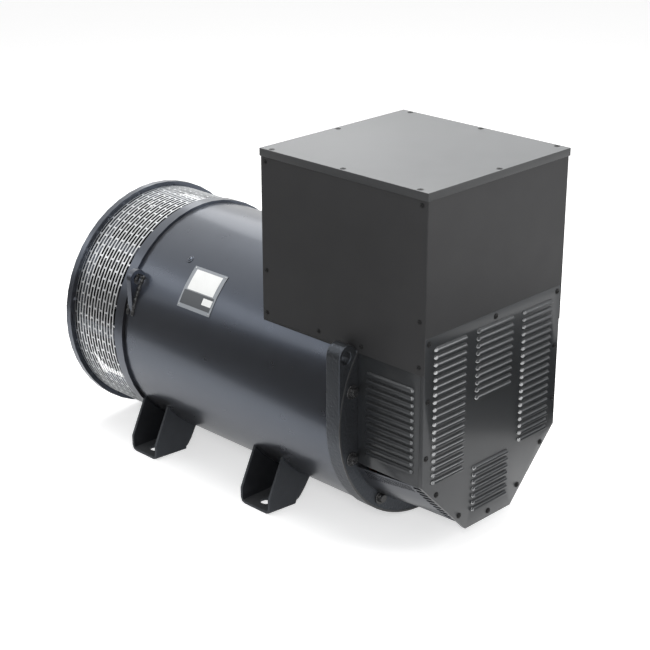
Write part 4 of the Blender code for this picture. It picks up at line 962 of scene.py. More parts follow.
@dataclass
class Assembly:
    """What all sub-assemblies share: the frame's nodes and the palette."""

    frame: dict[str, Any]
    palette: Palette

    def slot_of(self, node: str) -> str:
        """The record's material slot of a node."""
        for part in self.frame["record"]["subparts"]:
            if part["node"] == node:
                return part["material_slot"]
        raise KeyError(node)

    def adopt(self, node: str, width: float = 0.0, angle: float = 35.0, finish: Finish | None = None) -> bpy.types.Object:
        """A welded, smoothed copy of a node, which stands for it.

        Args:
            node: the node's name.
            width: how far its sharp edges are rounded.
            angle: edges sharper than this stay sharp, in degrees.
            finish: another finish than its slot's own.

        Returns:
            The new piece.
        """
        source = self.frame["nodes"][node]
        piece = Bench.copy(source, node + "_shell", Matrix.Identity(4))
        for key in list(piece.keys()):
            if key.startswith("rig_"):
                del piece[key]
        piece.parent = None
        with Bench.shaping(piece):
            bpy.ops.mesh.select_all(action="SELECT")
            bpy.ops.mesh.remove_doubles(threshold=1e-5)
            bpy.ops.mesh.dissolve_limited(angle_limit=math.radians(0.5))
        Bench.soften(piece, width, angle)
        return self.mount(piece, Body(source["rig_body"]), self.slot_of(node), [node], finish)

    def mount(
        self,
        piece: bpy.types.Object,
        body: Body,
        slot: str,
        nodes: Sequence[str] = (),
        finish: Finish | None = None,
    ) -> bpy.types.Object:
        """Paints a finished piece and lets it ride.

        Args:
            piece: the piece.
            body: what it rides on.
            slot: the record's material slot.
            nodes: the nodes that it stands for.
            finish: another finish than the slot's own.

        Returns:
            The same piece.
        """
        self.palette.paint(piece, slot, finish)
        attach(piece, body.value)
        if nodes:
            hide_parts(*nodes)
        LOG.info("%s: %d faces", piece.name, len(piece.data.polygons))
        return piece


@dataclass
class Screws:
    """Domed screws with a washer face and a hexagon socket, modelled once about +Z."""

    radius: float = 6.5 * MM
    height: float = 4.0 * MM
    washer_radius: float = 8.0 * MM
    washer_height: float = 1.2 * MM
    socket_radius: float = 2.4 * MM
    sides: int = 16

    def model(self) -> bpy.types.Object:
        """One screw head, seated at the origin."""
        bpy.ops.mesh.primitive_uv_sphere_add(segments=self.sides, ring_count=10, radius=self.radius)
        dome = Bench.name(bpy.context.active_object, "dome")
        with Bench.shaping(dome):
            bpy.ops.mesh.select_all(action="SELECT")
            bpy.ops.transform.resize(value=(1, 1, self.height / self.radius))
            bpy.ops.mesh.bisect(plane_co=(0, 0, 0), plane_no=(0, 0, -1), clear_outer=True, use_fill=True)
        top = Vector((0, 0, self.height * 1.2))
        socket = Bench.rod("socket", self.socket_radius, Vector((0, 0, self.height * 0.45)), top, 6)
        Bench.cut(dome, socket)
        rise = Vector((0, 0, self.washer_height))
        washer = Bench.rod("washer", self.washer_radius, -0.3 * rise, rise, self.sides)
        Bench.soften(washer, 0.4 * MM, segments=1)
        return Bench.soften(Bench.joined("screw", [dome, washer]), 0.0, 50)

    def drive(self, name: str, places: Sequence[tuple[Vector, Vector]]) -> bpy.types.Object:
        """Sets screws at these places.

        Args:
            name: the joined piece's name.
            places: each seat and the way that it faces.

        Returns:
            All the screws as one piece.
        """
        return Bench.repeated(self.model(), name, [facing(seat, way) for seat, way in places])


@dataclass
class Louvre:
    """One pressed hood: half round, closed at both ends with a flattened tip, open below."""

    rise: float = 9.0 * MM
    roll_under: float = 1.5 * MM
    depth: float = 8.0 * MM
    wall: float = 1.1 * MM
    mouth: float = 7.5 * MM
    tip_slope: tuple[float, float, float] = (0.702, -0.549, 0.456)
    tip_reach: float = 6.7 * MM

    def model(self, length: float) -> bpy.types.Object:
        """A hood of this length about the origin: along X, bulging towards -Y, its mouth downwards.

        Args:
            length: its length over the rounded ends.

        Returns:
            The new piece.
        """
        turn = (0, math.pi / 2, 0)
        bpy.ops.mesh.primitive_uv_sphere_add(segments=20, ring_count=7, radius=1, rotation=turn)
        hood = Bench.settle(Bench.name(bpy.context.active_object, "hood"))
        with Bench.shaping(hood, "VERT"):
            bpy.ops.mesh.select_all(action="SELECT")
            bpy.ops.transform.resize(value=(self.rise, self.depth, self.rise))
            for side in (-1, 1):
                shape = bmesh.from_edit_mesh(hood.data)
                for vertex in shape.verts:
                    vertex.select_set(vertex.co.x * side > 0)
                bmesh.update_edit_mesh(hood.data)
                bpy.ops.transform.translate(value=(side * (length / 2 - self.rise), 0, 0))
            for side in (-1, 1):
                tip = Vector((side * (length / 2 - self.rise), 0, 0))
                slope = Vector((side * self.tip_slope[0], *self.tip_slope[1:])).normalized()
                bpy.ops.mesh.select_all(action="SELECT")
                flat = tip + slope * self.tip_reach
                bpy.ops.mesh.bisect(plane_co=flat, plane_no=slope, clear_outer=True, use_fill=True)
            for spot, outwards in (((0, 0, 0), (0, 1, 0)), ((0, 0, -self.roll_under), (0, 0, -1))):
                bpy.ops.mesh.select_all(action="SELECT")
                bpy.ops.mesh.bisect(plane_co=spot, plane_no=outwards, clear_outer=True)
            bpy.ops.mesh.select_all(action="SELECT")
            bpy.ops.mesh.remove_doubles(threshold=1e-5)
            bpy.ops.mesh.normals_make_consistent(inside=False)
        self.point_outwards(hood)
        Bench.apply(hood, "SOLIDIFY", thickness=self.wall, offset=-1)
        return Bench.soften(hood, 0.0, 30)

    def point_outwards(self, hood: bpy.types.Object) -> None:
        """Turns the open hood's faces to its outside, where it bulges."""
        lean = sum(p.normal.y * p.area for p in hood.data.polygons)
        if lean > 0:
            with Bench.shaping(hood):
                bpy.ops.mesh.select_all(action="SELECT")
                bpy.ops.mesh.flip_normals()

    def opening(self, length: float) -> bpy.types.Object:
        """The hole behind a hood, as a cutter about the origin."""
        half = length / 2 - 0.6 * self.rise
        low = (-half, -self.depth, -self.roll_under + 1 * MM)
        return Bench.block("opening", low, (half, self.depth, self.mouth - self.roll_under))


@dataclass
class RearHousing(Assembly):
    """The louvred rear plate, the louvred sides and the slotted belly pan."""

    sheet: float = 2 * MM
    half_width: float = 0.2738
    top: float = 0.2965
    shoulder: float = -0.110
    bottom: float = -0.295
    sole_half: float = 0.094
    fold: float = 0.013
    pitch: float = 0.02035
    column: tuple[float, float] = (0.112, 0.240)
    middle: tuple[float, float] = (-0.075, 0.075)
    side_face: float = 0.2734
    side_start: float = 0.0133
    side_end: float = 0.225
    side_bottom: float = -0.112
    side_top: float = 0.1987
    side_span: tuple[float, float] = (0.031, 0.195)
    pan_radius: float = 0.300
    pan_angles: tuple[float, float] = (205.0, 335.0)
    pan_stations: tuple[float, float] = (0.015, 0.225)
    comb_pitch: float = 4.0
    comb_stations: tuple[float, float] = (0.021, 0.046)
    vent_pitch: float = 6 * MM
    vent_length: float = 34 * MM
    pan_inset: float = 3 * MM
    louvre: Louvre = field(default_factory=Louvre)
    side_louvre: Louvre = field(default_factory=lambda: Louvre(tip_slope=(0.63, -0.63, 0.46), tip_reach=7.2 * MM))
    screws: Screws = field(default_factory=Screws)

    def build(self) -> None:
        """Builds the rear housing."""
        self.rear_plate()
        for side, name in ((-1, "left"), (1, "right")):
            self.side_panel(side, name)
        self.belly_pan()
        self.plate_screws()

    def rows(self, span: tuple[float, float], first: float, count: int) -> list[tuple[float, float, float]]:
        """A column of louvres, each as its middle across, its height and its length."""
        low, high = span
        return [((low + high) / 2, first - i * self.pitch, high - low) for i in range(count)]

    def rear_plate(self) -> None:
        """The shallow tray with its lower corners cut off, pressed into louvres."""
        half, sole = self.half_width, self.sole_half
        corners = (
            (-sole, self.bottom),
            (sole, self.bottom),
            (half, self.shoulder),
            (half, self.top),
            (-half, self.top),
            (-half, self.shoulder),
        )
        plate = Bench.path("rear_plate", [at(x, 0, z) for x, z in corners], closed=True)
        with Bench.shaping(plate):
            bpy.ops.mesh.select_all(action="SELECT")
            bpy.ops.mesh.extrude_region_move(TRANSFORM_OT_translate={"value": (0, self.fold, 0)})
            Bench.pick_faces(lambda centre, normal: centre.y > REAR_Y + self.fold - MM / 10)
            bpy.ops.mesh.delete(type="FACE")
            bpy.ops.mesh.select_all(action="SELECT")
            bpy.ops.mesh.normals_make_consistent(inside=False)
        self.face_away(plate)
        Bench.apply(plate, "SOLIDIFY", thickness=self.sheet, offset=-1, use_even_offset=True)
        low, high = self.column
        rows = self.rows((-high, -low), 0.258, 19) + self.rows((low, high), 0.258, 19)
        rows += self.rows(self.middle, 0.2595, 10) + self.rows(self.middle, -0.126, 7)
        moves = {}
        for across, height, length in rows:
            moves.setdefault(round(length, 4), []).append(Matrix.Translation(at(across, 0, height)))
        plate = self.press(plate, "rear_louvre_plate_pressed", self.louvre, moves)
        self.mount(plate, Body.STATOR, "body_paint", ["rear_louvre_plate"], REAR_ENAMEL)

    def press(
        self, plate: bpy.types.Object, name: str, louvre: Louvre, moves: dict[float, list[Matrix]]
    ) -> bpy.types.Object:
        """Presses louvres into a sheet.

        Args:
            plate: the plain sheet.
            name: the finished sheet's name.
            louvre: the louvre to press.
            moves: for each louvre length, where they stand.

        Returns:
            The louvred sheet.
        """
        Bench.soften(plate, 0.8 * MM, 40)
        shapes = []
        for length, places in moves.items():
            holes = Bench.repeated(louvre.opening(length), "openings", places)
            Bench.cut(plate, holes)
            shapes.append(Bench.repeated(louvre.model(length), "hoods", places))
        Bench.focus(plate)
        bpy.ops.object.shade_smooth_by_angle(angle=math.radians(40))
        return Bench.joined(name, [*shapes, plate])

    def face_away(self, plate: bpy.types.Object) -> None:
        """Turns a plate's faces outwards if its front looks inwards."""
        front = max(plate.data.polygons, key=lambda p: p.area)
        if front.normal.y > 0.5:
            with Bench.shaping(plate):
                bpy.ops.mesh.select_all(action="SELECT")
                bpy.ops.mesh.flip_normals()

    def side_panel(self, side: int, name: str) -> None:
        """One louvred side, folded under along its bottom edge.

        Args:
            side: -1 for the left one, 1 for the right one.
            name: left or right.
        """
        face = side * self.side_face
        inner = side * (self.side_face - self.sheet)
        low = at(min(face, inner), self.side_start, self.side_bottom)
        high = at(max(face, inner), self.side_end, self.side_top)
        panel = Bench.block("panel", low, high)
        lip = Bench.block(
            "lip",
            at(min(face, face - side * 0.012), self.side_start, self.side_bottom - self.sheet / 2),
            at(max(face, face - side * 0.012), self.side_end, self.side_bottom + self.sheet / 2),
        )
        panel = Bench.apply(panel, "BOOLEAN", object=lip, operation="UNION", solver="EXACT")
        bpy.data.objects.remove(lip)
        turn = Matrix.Rotation(side * math.pi / 2, 4, "Z")
        first = self.side_top - 0.0502
        span = self.side_span
        places = []
        for _, height, length in self.rows(span, first, 12):
            places.append(Matrix.Translation(at(face, sum(span) / 2, height)) @ turn)
        panel = self.press(panel, f"side_louvre_panel_{name}_pressed", self.side_louvre, {span[1] - span[0]: places})
        self.mount(panel, Body.STATOR, "body_paint", [f"side_louvre_panel_{name}"], REAR_ENAMEL)

    def belly_pan(self) -> None:
        """The curved pan below, with a comb of slots along its rear edge and fine vents up its sides."""
        start, end = self.pan_angles
        near, far = self.pan_stations
        line = [polar(self.pan_radius, start, near), polar(self.pan_radius, start, far)]
        pan = Bench.path("pan", line)
        with Bench.shaping(pan, "VERT"):
            bpy.ops.mesh.select_all(action="SELECT")
            turn = math.radians(end - start)
            bpy.ops.mesh.spin(steps=65, angle=turn, center=(0, 0, SHAFT_HEIGHT), axis=(0, 1, 0))
            bpy.ops.mesh.select_all(action="SELECT")
            bpy.ops.mesh.normals_make_consistent(inside=False)
        lowest = min(pan.data.polygons, key=lambda p: p.center.z)
        if lowest.normal.z > 0:
            with Bench.shaping(pan):
                bpy.ops.mesh.select_all(action="SELECT")
                bpy.ops.mesh.flip_normals()
        self.draw_in(pan)
        Bench.apply(pan, "SOLIDIFY", thickness=self.sheet, offset=-1)
        self.cut_comb(pan, start, end)
        self.cut_vents(pan, start, end)
        Bench.soften(pan, 0.0, 30)
        Bench.name(pan, "belly_pan_slotted")
        self.mount(pan, Body.STATOR, "body_paint", ["belly_pan"])

    def draw_in(self, pan: bpy.types.Object) -> None:
        """Draws the pan's rear edge in to the outline of the rear plate, which it meets."""
        slope = Vector((self.shoulder - self.bottom, self.half_width - self.sole_half)).normalized()
        reach = slope.x * self.half_width - slope.y * self.shoulder
        for vertex in pan.data.vertices:
            if vertex.co.y > REAR_Y + self.pan_stations[0] + MM:
                continue
            x, z = abs(vertex.co.x), abs(vertex.co.z - SHAFT_HEIGHT)
            sole = -self.bottom / z * self.pan_radius
            corner = reach / (slope.x * x + slope.y * z) * self.pan_radius
            share = (min(sole, corner, self.pan_radius) - self.pan_inset) / self.pan_radius
            vertex.co = (vertex.co.x * share, vertex.co.y, SHAFT_HEIGHT - z * share)

    def cut_comb(self, pan: bpy.types.Object, start: float, end: float) -> None:
        """Cuts the comb of slots along the pan's rear edge."""
        low, high = self.comb_stations
        half = self.pan_radius * math.radians(self.comb_pitch) * 0.29
        slot = Bench.block("slot", at(self.pan_radius - 0.042, low, -half), at(self.pan_radius + 0.008, high, half))
        count = int((end - start) / self.comb_pitch)
        turns = [about_shaft(start + (i + 0.5) * self.comb_pitch) for i in range(count)]
        Bench.cut(pan, Bench.repeated(slot, "comb", turns))

    def cut_vents(self, pan: bpy.types.Object, start: float, end: float) -> None:
        """Cuts the fine vents up both sides of the pan."""
        low, high = self.pan_stations
        half = self.vent_length / 2
        low_corner = at(self.pan_radius - 0.042, 0, -half)
        vent = Bench.block("vent", low_corner, at(self.pan_radius + 0.008, 2.6 * MM, half))
        count = int((high - low - 0.060) / self.vent_pitch)
        moves = []
        inset = math.degrees((half + 6 * MM) / self.pan_radius)
        for angle in (start + inset, end - inset):
            for i in range(count):
                along = Matrix.Translation((0, low + 0.040 + i * self.vent_pitch, 0))
                moves.append(along @ about_shaft(angle))
        Bench.cut(pan, Bench.repeated(vent, "vents", moves))

    def plate_screws(self) -> None:
        """The twelve domed screws round the rear plate."""
        backwards = Vector((0, -1, 0))
        spots = [(0.0, 0.283), (0.0, -0.277)]
        for x, z in ((0.259, 0.281), (0.259, 0.126), (0.261, -0.030), (0.217, -0.148), (0.1225, -0.2445)):
            spots += [(x, z), (-x, z)]
        screws = self.screws.drive("rear_plate_screws", [(at(x, 0, z), backwards) for x, z in spots])
        self.mount(screws, Body.STATOR, "zinc_plate", (), BLACKENED)


@dataclass
class TerminalBox(Assembly):
    """The box over the body: creased lid, plain panels, their screws, and what is inside."""

    half_width: float = 0.2761
    start: float = -0.0005
    end: float = 0.571
    lid_half: float = 0.279
    lid_start: float = -0.0037
    lid_end: float = 0.5736
    lid_top: float = 0.6712
    lid_lip: float = 0.0210
    crease_rise: float = 1.2 * MM
    sheet: float = 1.6 * MM
    seam_top: float = 0.1985
    seam_bottom: float = 0.1945

    def build(self) -> None:
        """Builds the terminal box."""
        self.lid()
        for node in ("box_panel_left", "box_panel_right", "box_panel_rear", "box_panel_front"):
            self.adopt(node, 0.5 * MM)
        self.seams()
        self.lid_screws()
        self.panel_screws()
        self.terminals()

    def lid(self) -> None:
        """The lid: a shallow pan turned over, cross-broken from corner to corner to stiffen it."""
        low = at(-self.lid_half, self.lid_start, self.lid_top - self.lid_lip)
        high = at(self.lid_half, self.lid_end, self.lid_top)
        lid = Bench.block("box_lid_creased", low, high)
        with Bench.shaping(lid):
            Bench.pick_faces(lambda centre, normal: normal.z < -0.5)
            bpy.ops.mesh.delete(type="FACE")
        Bench.apply(lid, "SOLIDIFY", thickness=self.sheet, offset=-1, use_even_offset=True)
        Bench.apply(lid, "BEVEL", width=1.6 * MM, segments=3, limit_method="ANGLE", angle_limit=math.radians(40))
        with Bench.shaping(lid):
            top = high.z - MM / 10
            Bench.pick_faces(lambda centre, normal: normal.z > 0.99 and centre.z > top)
            bpy.ops.mesh.poke(offset=-self.crease_rise)
        Bench.soften(lid, 0.0, 25)
        with Bench.shaping(lid, "EDGE"):
            middle = (low + high) / 2
            near = 4 * MM
            Bench.pick_edges(
                lambda a, b: min((a.xy - middle.xy).length, (b.xy - middle.xy).length) < near
                and max(a.z, b.z) > top - 2 * self.crease_rise
            )
            bpy.ops.mesh.mark_sharp()
        self.mount(lid, Body.STATOR, "box_paint", ["box_lid"], LID_ENAMEL)

    def seams(self) -> None:
        """The folded strips where the box's sides stand on the body."""
        strips = []
        for side in (-1, 1):
            face, inner = side * (self.half_width - 0.6 * MM), side * (self.half_width - 6 * MM)
            low = at(min(face, inner), 0.2735, self.seam_bottom)
            strips.append(Bench.block("seam", low, at(max(face, inner), self.end, self.seam_top)))
        seams = Bench.soften(Bench.joined("box_seams", strips), 0.8 * MM)
        self.mount(seams, Body.STATOR, "box_paint")

    def lid_screws(self) -> None:
        """Eight screws through the lid."""
        middle = (self.lid_start + self.lid_end) / 2
        spots = [(side * 0.2675, middle + step) for side in (-1, 1) for step in (-0.253, 0, 0.253)]
        spots += [(0.0, 0.0074), (0.0, 0.560)]
        seats = [(at(x, y, self.lid_top), Vector((0, 0, 1))) for x, y in spots]
        low = Screws(radius=6.5 * MM, height=1.3 * MM, washer_radius=8.0 * MM, washer_height=0.5 * MM)
        self.mount(low.drive("box_lid_screws", seats), Body.STATOR, "zinc_plate", (), BLACKENED)

    def panel_screws(self) -> None:
        """Eight screws in each side panel, and four in the front one."""
        spots = [(y, z) for y in (0.0175, 0.5555) for z in (0.637, 0.340, 0.2195)]
        spots += [(0.211, 0.220), (0.363, 0.220)]
        seats = []
        for side in (-1, 1):
            seats += [(at(side * self.half_width, y, z), Vector((side, 0, 0))) for y, z in spots]
        seats += [(at(x, self.end, z), Vector((0, 1, 0))) for x in (-0.25, 0.25) for z in (0.637, 0.43)]
        small = Screws(radius=5.0 * MM, height=3.0 * MM, washer_radius=6.5 * MM, washer_height=1.0 * MM)
        self.mount(small.drive("box_panel_screws", seats), Body.STATOR, "zinc_plate", (), BLACKENED)

    def terminals(self) -> None:
        """Smooths the terminal board and the regulator inside."""
        self.adopt("terminal_board", 0.8 * MM)
        self.adopt("voltage_regulator", 3.0 * MM)


@dataclass
class Bracket(Assembly):
    """The cast bracket with its lugs, its bolts, and the bearing and exciter that it carries."""

    face: float = 0.2253
    radius: float = 0.3425
    register_width: float = 6 * MM
    register_rise: float = 1.2 * MM
    bolt_circle: float = 0.310
    bolt_first: float = 18.0
    bolt_count: int = 10
    head_radius: float = 13.5 * MM
    head_height: float = 11 * MM
    washer_radius: float = 19.5 * MM
    washer_height: float = 3 * MM

    def build(self) -> None:
        """Builds the bracket and what it carries."""
        self.adopt("nde_bracket", 2.0 * MM, 35)
        self.register()
        self.bolts()
        for node in ("bearing_housing", "bearing_cap_outer", "bearing_cap_inner", "bearing_outer_ring"):
            self.adopt(node, 1.0 * MM)
        self.adopt("exciter_stator", 0.0, 25)

    def register(self) -> None:
        """The machined edge round the rim, slightly proud of the lugs, its enamel paler as a painted highlight line.
        """
        front = self.face - self.register_rise
        outer, inner = self.radius - 0.4 * MM, self.radius - self.register_width
        profile = [(inner, front), (outer, front), (outer, self.face + 2 * MM), (inner, self.face + 2 * MM)]
        edge = Bench.soften(Bench.turned("bracket_register", profile, 96), 0.4 * MM)
        self.mount(edge, Body.STATOR, "casting", (), EDGE_IRON_WITH_PAINTED_HIGHLIGHT)

    def bolts(self) -> None:
        """Hexagon bolts on plain washers, each in the place of its own node."""
        tip = self.washer_height + self.head_height
        up = Vector((0, 0, 1))
        head = Bench.rod("head", self.head_radius, self.washer_height * 0.5 * up, tip * up, 6)
        crown = Bench.rod("crown", self.head_radius * 0.98, Vector(), (tip + 4 * MM) * up, 32)
        with Bench.shaping(crown, "FACE"):
            Bench.pick_faces(lambda centre, normal: normal.z > 0.9)
            bpy.ops.transform.resize(value=(0.78, 0.78, 1), center_override=(0, 0, 0))
            bpy.ops.transform.translate(value=(0, 0, -1 * MM))
        head = Bench.apply(head, "BOOLEAN", object=crown, operation="INTERSECT", solver="EXACT")
        bpy.data.objects.remove(crown)
        washer = Bench.rod("washer", self.washer_radius, Vector(), self.washer_height * up, 32)
        Bench.soften(washer, 0.5 * MM, segments=1)
        bolt = Bench.soften(Bench.joined("bolt", [head, washer]), 0.3 * MM, 30, 1)
        for number in range(self.bolt_count):
            angle = self.bolt_first + number * 360 / self.bolt_count
            seat = polar(self.bolt_circle, angle, self.face - 0.2 * MM)
            turn = Matrix.Rotation(math.radians(23 * number), 4, "Z")
            place = facing(seat, Vector((0, -1, 0))) @ turn
            piece = Bench.copy(bolt, f"flange_bolt_{number + 1:02d}", place)
            self.mount(piece, Body.STATOR, "zinc_plate", [f"bracket_bolt_{number + 1:02d}"], PHOSPHATED)
        bpy.data.objects.remove(bolt)


@dataclass
class AirScreen(Assembly):
    """The bright sheet round the air outlet, punched with staggered rows of long slots."""

    radius: float = 0.3410
    sheet: float = 1.4 * MM
    start: float = 1.1372
    end: float = 1.3351
    slots: int = 34
    rows: int = 15
    slot_width: float = 8.4 * MM
    corner: float = 3.0 * MM

    def build(self) -> None:
        """Builds the screen from one punched tile."""
        pitch = 2 * math.pi * self.radius / self.slots
        height = (self.end - self.start - 0.004) / self.rows
        tile = self.tile(pitch, height)
        places = []
        for row in range(self.rows):
            y = self.start + 0.002 + (row + 0.5) * height
            for column in range(self.slots):
                shift = column + (0.5 if row % 2 else 0.0)
                places.append(Matrix.Translation((shift * pitch, y, 0)))
        screen = Bench.repeated(tile, "air_outlet_screen_punched", places)
        self.roll_up(screen)
        with Bench.shaping(screen):
            bpy.ops.mesh.select_all(action="SELECT")
            bpy.ops.mesh.remove_doubles(threshold=5e-5)
            bpy.ops.mesh.normals_make_consistent(inside=False)
        outward = sum((p.center - Vector((0, p.center.y, SHAFT_HEIGHT))).dot(p.normal) for p in screen.data.polygons)
        if outward < 0:
            with Bench.shaping(screen):
                bpy.ops.mesh.select_all(action="SELECT")
                bpy.ops.mesh.flip_normals()
        Bench.apply(screen, "SOLIDIFY", thickness=self.sheet, offset=-1)
        Bench.soften(screen, 0.0, 40)
        self.mount(screen, Body.STATOR, "galvanised_sheet", ["air_outlet_screen"])

    def tile(self, pitch: float, height: float) -> bpy.types.Object:
        """One flat tile of the sheet about the origin, with its slot punched through.

        Args:
            pitch: its length round the screen.
            height: its width along the shaft.

        Returns:
            The new tile.
        """
        bpy.ops.mesh.primitive_grid_add(x_subdivisions=6, y_subdivisions=1, size=1)
        tile = Bench.name(bpy.context.active_object, "tile")
        tile.scale = (pitch, height, 1)
        Bench.settle(tile)
        land = (height - self.slot_width) / 2
        with Bench.shaping(tile, "FACE"):
            bpy.ops.mesh.select_all(action="SELECT")
            bpy.ops.mesh.inset(thickness=land, depth=0, use_boundary=True)
            bpy.ops.mesh.delete(type="FACE")
        with Bench.shaping(tile, "VERT"):
            end = pitch / 2 - land
            shape = bmesh.from_edit_mesh(tile.data)
            for vertex in shape.verts:
                x, y = abs(vertex.co.x), abs(vertex.co.y)
                vertex.select_set(abs(x - end) < 0.1 * MM and y < self.slot_width / 2 + 0.1 * MM)
            bmesh.update_edit_mesh(tile.data)
            bpy.ops.mesh.bevel(offset=self.corner, segments=2, affect="VERTICES")
        return tile

    def roll_up(self, screen: bpy.types.Object) -> None:
        """Rolls the flat sheet round the shaft axis, its length running round the screen."""
        for vertex in screen.data.vertices:
            degrees = math.degrees(vertex.co.x / self.radius)
            vertex.co = polar(self.radius, degrees, vertex.co.y)


@dataclass
class BodyShell(Assembly):
    """The tube, the drive-end frame and flange, the welded lugs, the feet, and the trim on the tube."""

    radius: float = 0.3374
    plate_stations: tuple[float, float] = (0.765, 0.900)
    block_stations: tuple[float, float] = (0.779, 0.886)
    block_angles: tuple[float, float] = (133.1, 143.6)
    chip_stations: tuple[float, float] = (0.772, 0.810)
    chip_angles: tuple[float, float] = (145.3, 148.6)
    field_stations: tuple[float, float] = (0.771, 0.894)
    field_angles: tuple[float, float] = (144.1, 151.0)
    plate_face: float = 0.3392
    film: float = 0.25 * MM
    rivet_radius: float = 2.6 * MM
    lug_start: float = 1.073
    lug_end: float = 1.092
    lug_centre: tuple[float, float] = (0.298, 0.188)
    lug_head: float = 28 * MM
    lug_eye: float = 16 * MM
    bead_radius: float = 6.0 * MM
    bead_pitch: float = 7.0 * MM
    wall_stations: tuple[float, float] = (1.290, 1.3353)
    wall_radii: tuple[float, float] = (0.3241, 0.3340)
    plug_station: float = 0.9387
    plug_angle: float = 129.3

    def build(self) -> None:
        """Builds the body."""
        self.adopt("stator_frame", 0.0, 30)
        enamel = FINISHES["body_paint"]
        self.adopt("drive_end_frame", 1.0 * MM, 30, enamel)
        self.adopt("housing_flange", 1.2 * MM, 30, enamel)
        self.flange_wall()
        for side, name in ((-1, "left"), (1, "right")):
            self.lug(side, name)
        for node in ("foot_nde_left", "foot_nde_right", "foot_de_left", "foot_de_right"):
            self.adopt(node, 1.0 * MM, 35, FOOT_ENAMEL)
        self.weld_beads()
        self.name_plate()
        self.plug()

    def flange_wall(self) -> None:
        """The flange's inner wall, which reaches back under the last rows of the screen's slots."""
        (inner, outer), (near, far) = self.wall_radii, self.wall_stations
        profile = [(inner, near), (outer, near), (outer, far), (inner, far)]
        wall = Bench.soften(Bench.turned("flange_inner_wall", profile, 96), 0.8 * MM)
        self.mount(wall, Body.STATOR, self.slot_of("housing_flange"), (), FINISHES["body_paint"])

    def lug_span(self) -> tuple[float, float, float]:
        """The angles where a lug's foot starts and ends on the tube, and its head's crown angle."""
        x, z = self.lug_centre
        head = self.lug_head
        reach = math.hypot(x, z)
        base = math.degrees(math.acos((x + head) / self.radius))
        inward = math.acos((reach**2 + head**2 - self.radius**2) / (2 * reach * head))
        crown = math.atan2(z, x) + math.pi - inward
        end = math.degrees(math.atan2(z + head * math.sin(crown), x + head * math.cos(crown)))
        return base, end, crown

    def lug(self, side: int, name: str) -> None:
        """One lifting lug cut from plate: a round head with an eye, tapering down onto the tube.

        Args:
            side: -1 for the left one, 1 for the right one.
            name: left or right.
        """
        base, end, crown = self.lug_span()
        steps = 12
        sunk = self.radius - 2 * MM
        foot = [polar(sunk, end + (base - end) * i / steps, self.lug_start) for i in range(steps + 1)]
        x, z = self.lug_centre
        head = []
        for i in range(steps + 1):
            turn = crown * i / steps
            point = (x + self.lug_head * math.cos(turn), z + self.lug_head * math.sin(turn))
            head.append(at(point[0], self.lug_start, point[1]))
        plate = Bench.path("lug", foot + head, closed=True)
        with Bench.shaping(plate):
            bpy.ops.mesh.select_all(action="SELECT")
            thickness = (0, self.lug_end - self.lug_start, 0)
            bpy.ops.mesh.extrude_region_move(TRANSFORM_OT_translate={"value": thickness})
            bpy.ops.mesh.select_all(action="SELECT")
            bpy.ops.mesh.normals_make_consistent(inside=False)
        eye = Bench.rod("eye", self.lug_eye, at(x, self.lug_start - 0.01, z), at(x, self.lug_end + 0.01, z), 32)
        Bench.cut(plate, eye)
        lug = Bench.copy(plate, f"de_lifting_lug_{name}_plate", Matrix.Diagonal((side, 1, 1, 1)))
        bpy.data.objects.remove(plate)
        with Bench.shaping(lug):
            bpy.ops.mesh.select_all(action="SELECT")
            bpy.ops.mesh.normals_make_consistent(inside=False)
        Bench.soften(lug, 1.2 * MM)
        self.mount(lug, Body.STATOR, "body_paint", [f"de_lifting_lug_{name}"])

    def weld_beads(self) -> None:
        """The lumpy beads along both sides of the welded lugs."""
        low, high, _ = self.lug_span()
        step = math.degrees(self.bead_pitch / self.radius)
        count = int((high - low) / step)
        bpy.ops.mesh.primitive_uv_sphere_add(segments=10, ring_count=6, radius=self.bead_radius)
        drop = Bench.name(bpy.context.active_object, "drop")
        moves = []
        for station in (self.lug_start - 1 * MM, self.lug_end + 1 * MM):
            for number in range(count):
                angle = low + number * step
                swell = 1.0 + 0.22 * math.sin(number * 2.4)
                grow = Matrix.Diagonal((swell, swell, swell, 1.0))
                moves.append(Matrix.Translation(polar(self.radius, angle, station)) @ grow)
                moves.append(Matrix.Translation(polar(self.radius, 180 - angle, station)) @ grow)
        beads = Bench.repeated(drop, "lug_weld_beads", moves)
        Bench.apply(beads, "REMESH", mode="VOXEL", voxel_size=1.6 * MM)
        Bench.apply(beads, "SMOOTH", factor=0.5, iterations=3)
        Bench.focus(beads)
        bpy.ops.object.shade_smooth()
        self.mount(beads, Body.STATOR, "body_paint", (), WELD)

    def patch(
        self, name: str, stations: tuple[float, float], angles: tuple[float, float], sunk: float = 0.0
    ) -> bpy.types.Object:
        """A thin film curved on the name plate.

        Args:
            name: the piece's name.
            stations: where it starts and ends along the shaft.
            angles: where it starts and ends round it.
            sunk: how far it lies below the other films.

        Returns:
            The new piece.
        """
        (near, far), (low, high) = stations, angles
        face = self.plate_face - sunk
        film = Bench.path(name, [polar(face, low, near), polar(face, low, far)])
        with Bench.shaping(film, "VERT"):
            bpy.ops.mesh.select_all(action="SELECT")
            turn = math.radians(high - low)
            bpy.ops.mesh.spin(steps=8, angle=turn, center=(0, 0, SHAFT_HEIGHT), axis=(0, 1, 0))
            bpy.ops.mesh.select_all(action="SELECT")
            bpy.ops.mesh.normals_make_consistent(inside=False)
        if film.data.polygons[0].normal.dot(polar(1.0, (low + high) / 2, 0) - at(0, 0, 0)) < 0:
            with Bench.shaping(film):
                bpy.ops.mesh.select_all(action="SELECT")
                bpy.ops.mesh.flip_normals()
        return Bench.soften(Bench.apply(film, "SOLIDIFY", thickness=self.film, offset=1), 0.0, 30)

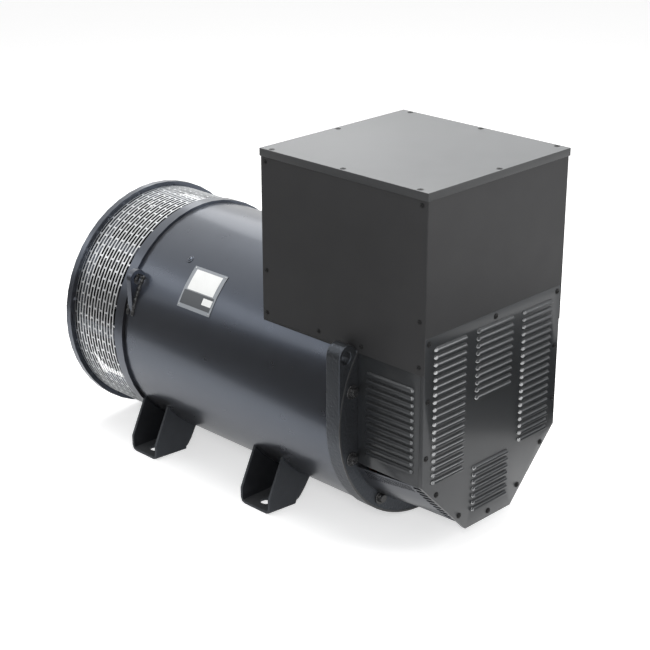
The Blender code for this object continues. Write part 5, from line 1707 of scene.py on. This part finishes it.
    def name_plate(self) -> None:
        """The bare plate, its blank white films and the rivets at its corners."""
        self.adopt("name_plate", 0.3 * MM)
        films = [
            self.patch("film", self.block_stations, self.block_angles),
            self.patch("chip", self.chip_stations, self.chip_angles),
        ]
        self.mount(Bench.joined("name_plate_films", films), Body.STATOR, "plate_label", (), WHITE_FILM)
        dark = self.patch("name_plate_field", self.field_stations, self.field_angles, 0.15 * MM)
        self.mount(dark, Body.STATOR, "plate_label", (), DARK_FILM)
        near, far = self.plate_stations
        bpy.ops.mesh.primitive_uv_sphere_add(segments=10, ring_count=6, radius=self.rivet_radius)
        rivet = Bench.name(bpy.context.active_object, "rivet")
        moves = []
        for station in (near + 6 * MM, far - 6 * MM):
            for angle in (132.6, 151.9):
                place = polar(self.plate_face - 0.8 * MM, angle, station)
                moves.append(Matrix.Translation(place))
        rivets = Bench.soften(Bench.repeated(rivet, "name_plate_rivets", moves), 0.0, 60)
        self.mount(rivets, Body.STATOR, "zinc_plate")

    def plug(self) -> None:
        """The plug: a domed cap with a flange, set into the tube."""
        seat = polar(self.radius - 1 * MM, self.plug_angle, self.plug_station)
        outwards = polar(1.0, self.plug_angle, 0) - at(0, 0, 0)
        place = facing(seat, outwards)
        cap = Screws(radius=8.5 * MM, height=4.5 * MM, washer_radius=12 * MM, washer_height=2.2 * MM, sides=24)
        plug = Bench.copy(cap.model(), "body_plug_domed", place)
        bpy.data.objects.remove(bpy.data.objects["screw"])
        self.mount(plug, Body.STATOR, "black_plastic", ["body_plug"], FINISHES["body_paint"])


@dataclass
class Rotor(Assembly):
    """Everything that turns, and the bearing's ball set."""

    def build(self) -> None:
        """Smooths the turning pieces."""
        for node in ("shaft", "drive_hub", "bearing_inner_ring"):
            self.adopt(node, 1.0 * MM, 30)
        self.adopt("drive_discs", 0.8 * MM, 30, DISC_STEEL)
        self.adopt("cooling_fan", 0.8 * MM, 30)
        self.adopt("rectifier_disc", 0.6 * MM, 30)
        self.adopt("exciter_rotor", 0.0, 20)
        for number in range(1, 5):
            self.adopt(f"field_coil_{number}", 3.0 * MM, 30)
        self.adopt("ball_cage_set", 0.0, 40)


def main() -> None:
    """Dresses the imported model, part by part."""
    logging.basicConfig(level=logging.INFO, format="%(message)s")
    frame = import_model()
    bpy.ops.object.select_all(action="DESELECT")
    Studio().build()
    palette = Palette()
    assembly = Assembly(frame, palette)
    for name, node in frame["nodes"].items():
        palette.paint_node(node, assembly.slot_of(name))
    for kind in (RearHousing, TerminalBox, Bracket, AirScreen, BodyShell, Rotor):
        LOG.info("building %s", kind.__name__)
        kind(frame, palette).build()


if __name__ == "__main__":
    main()
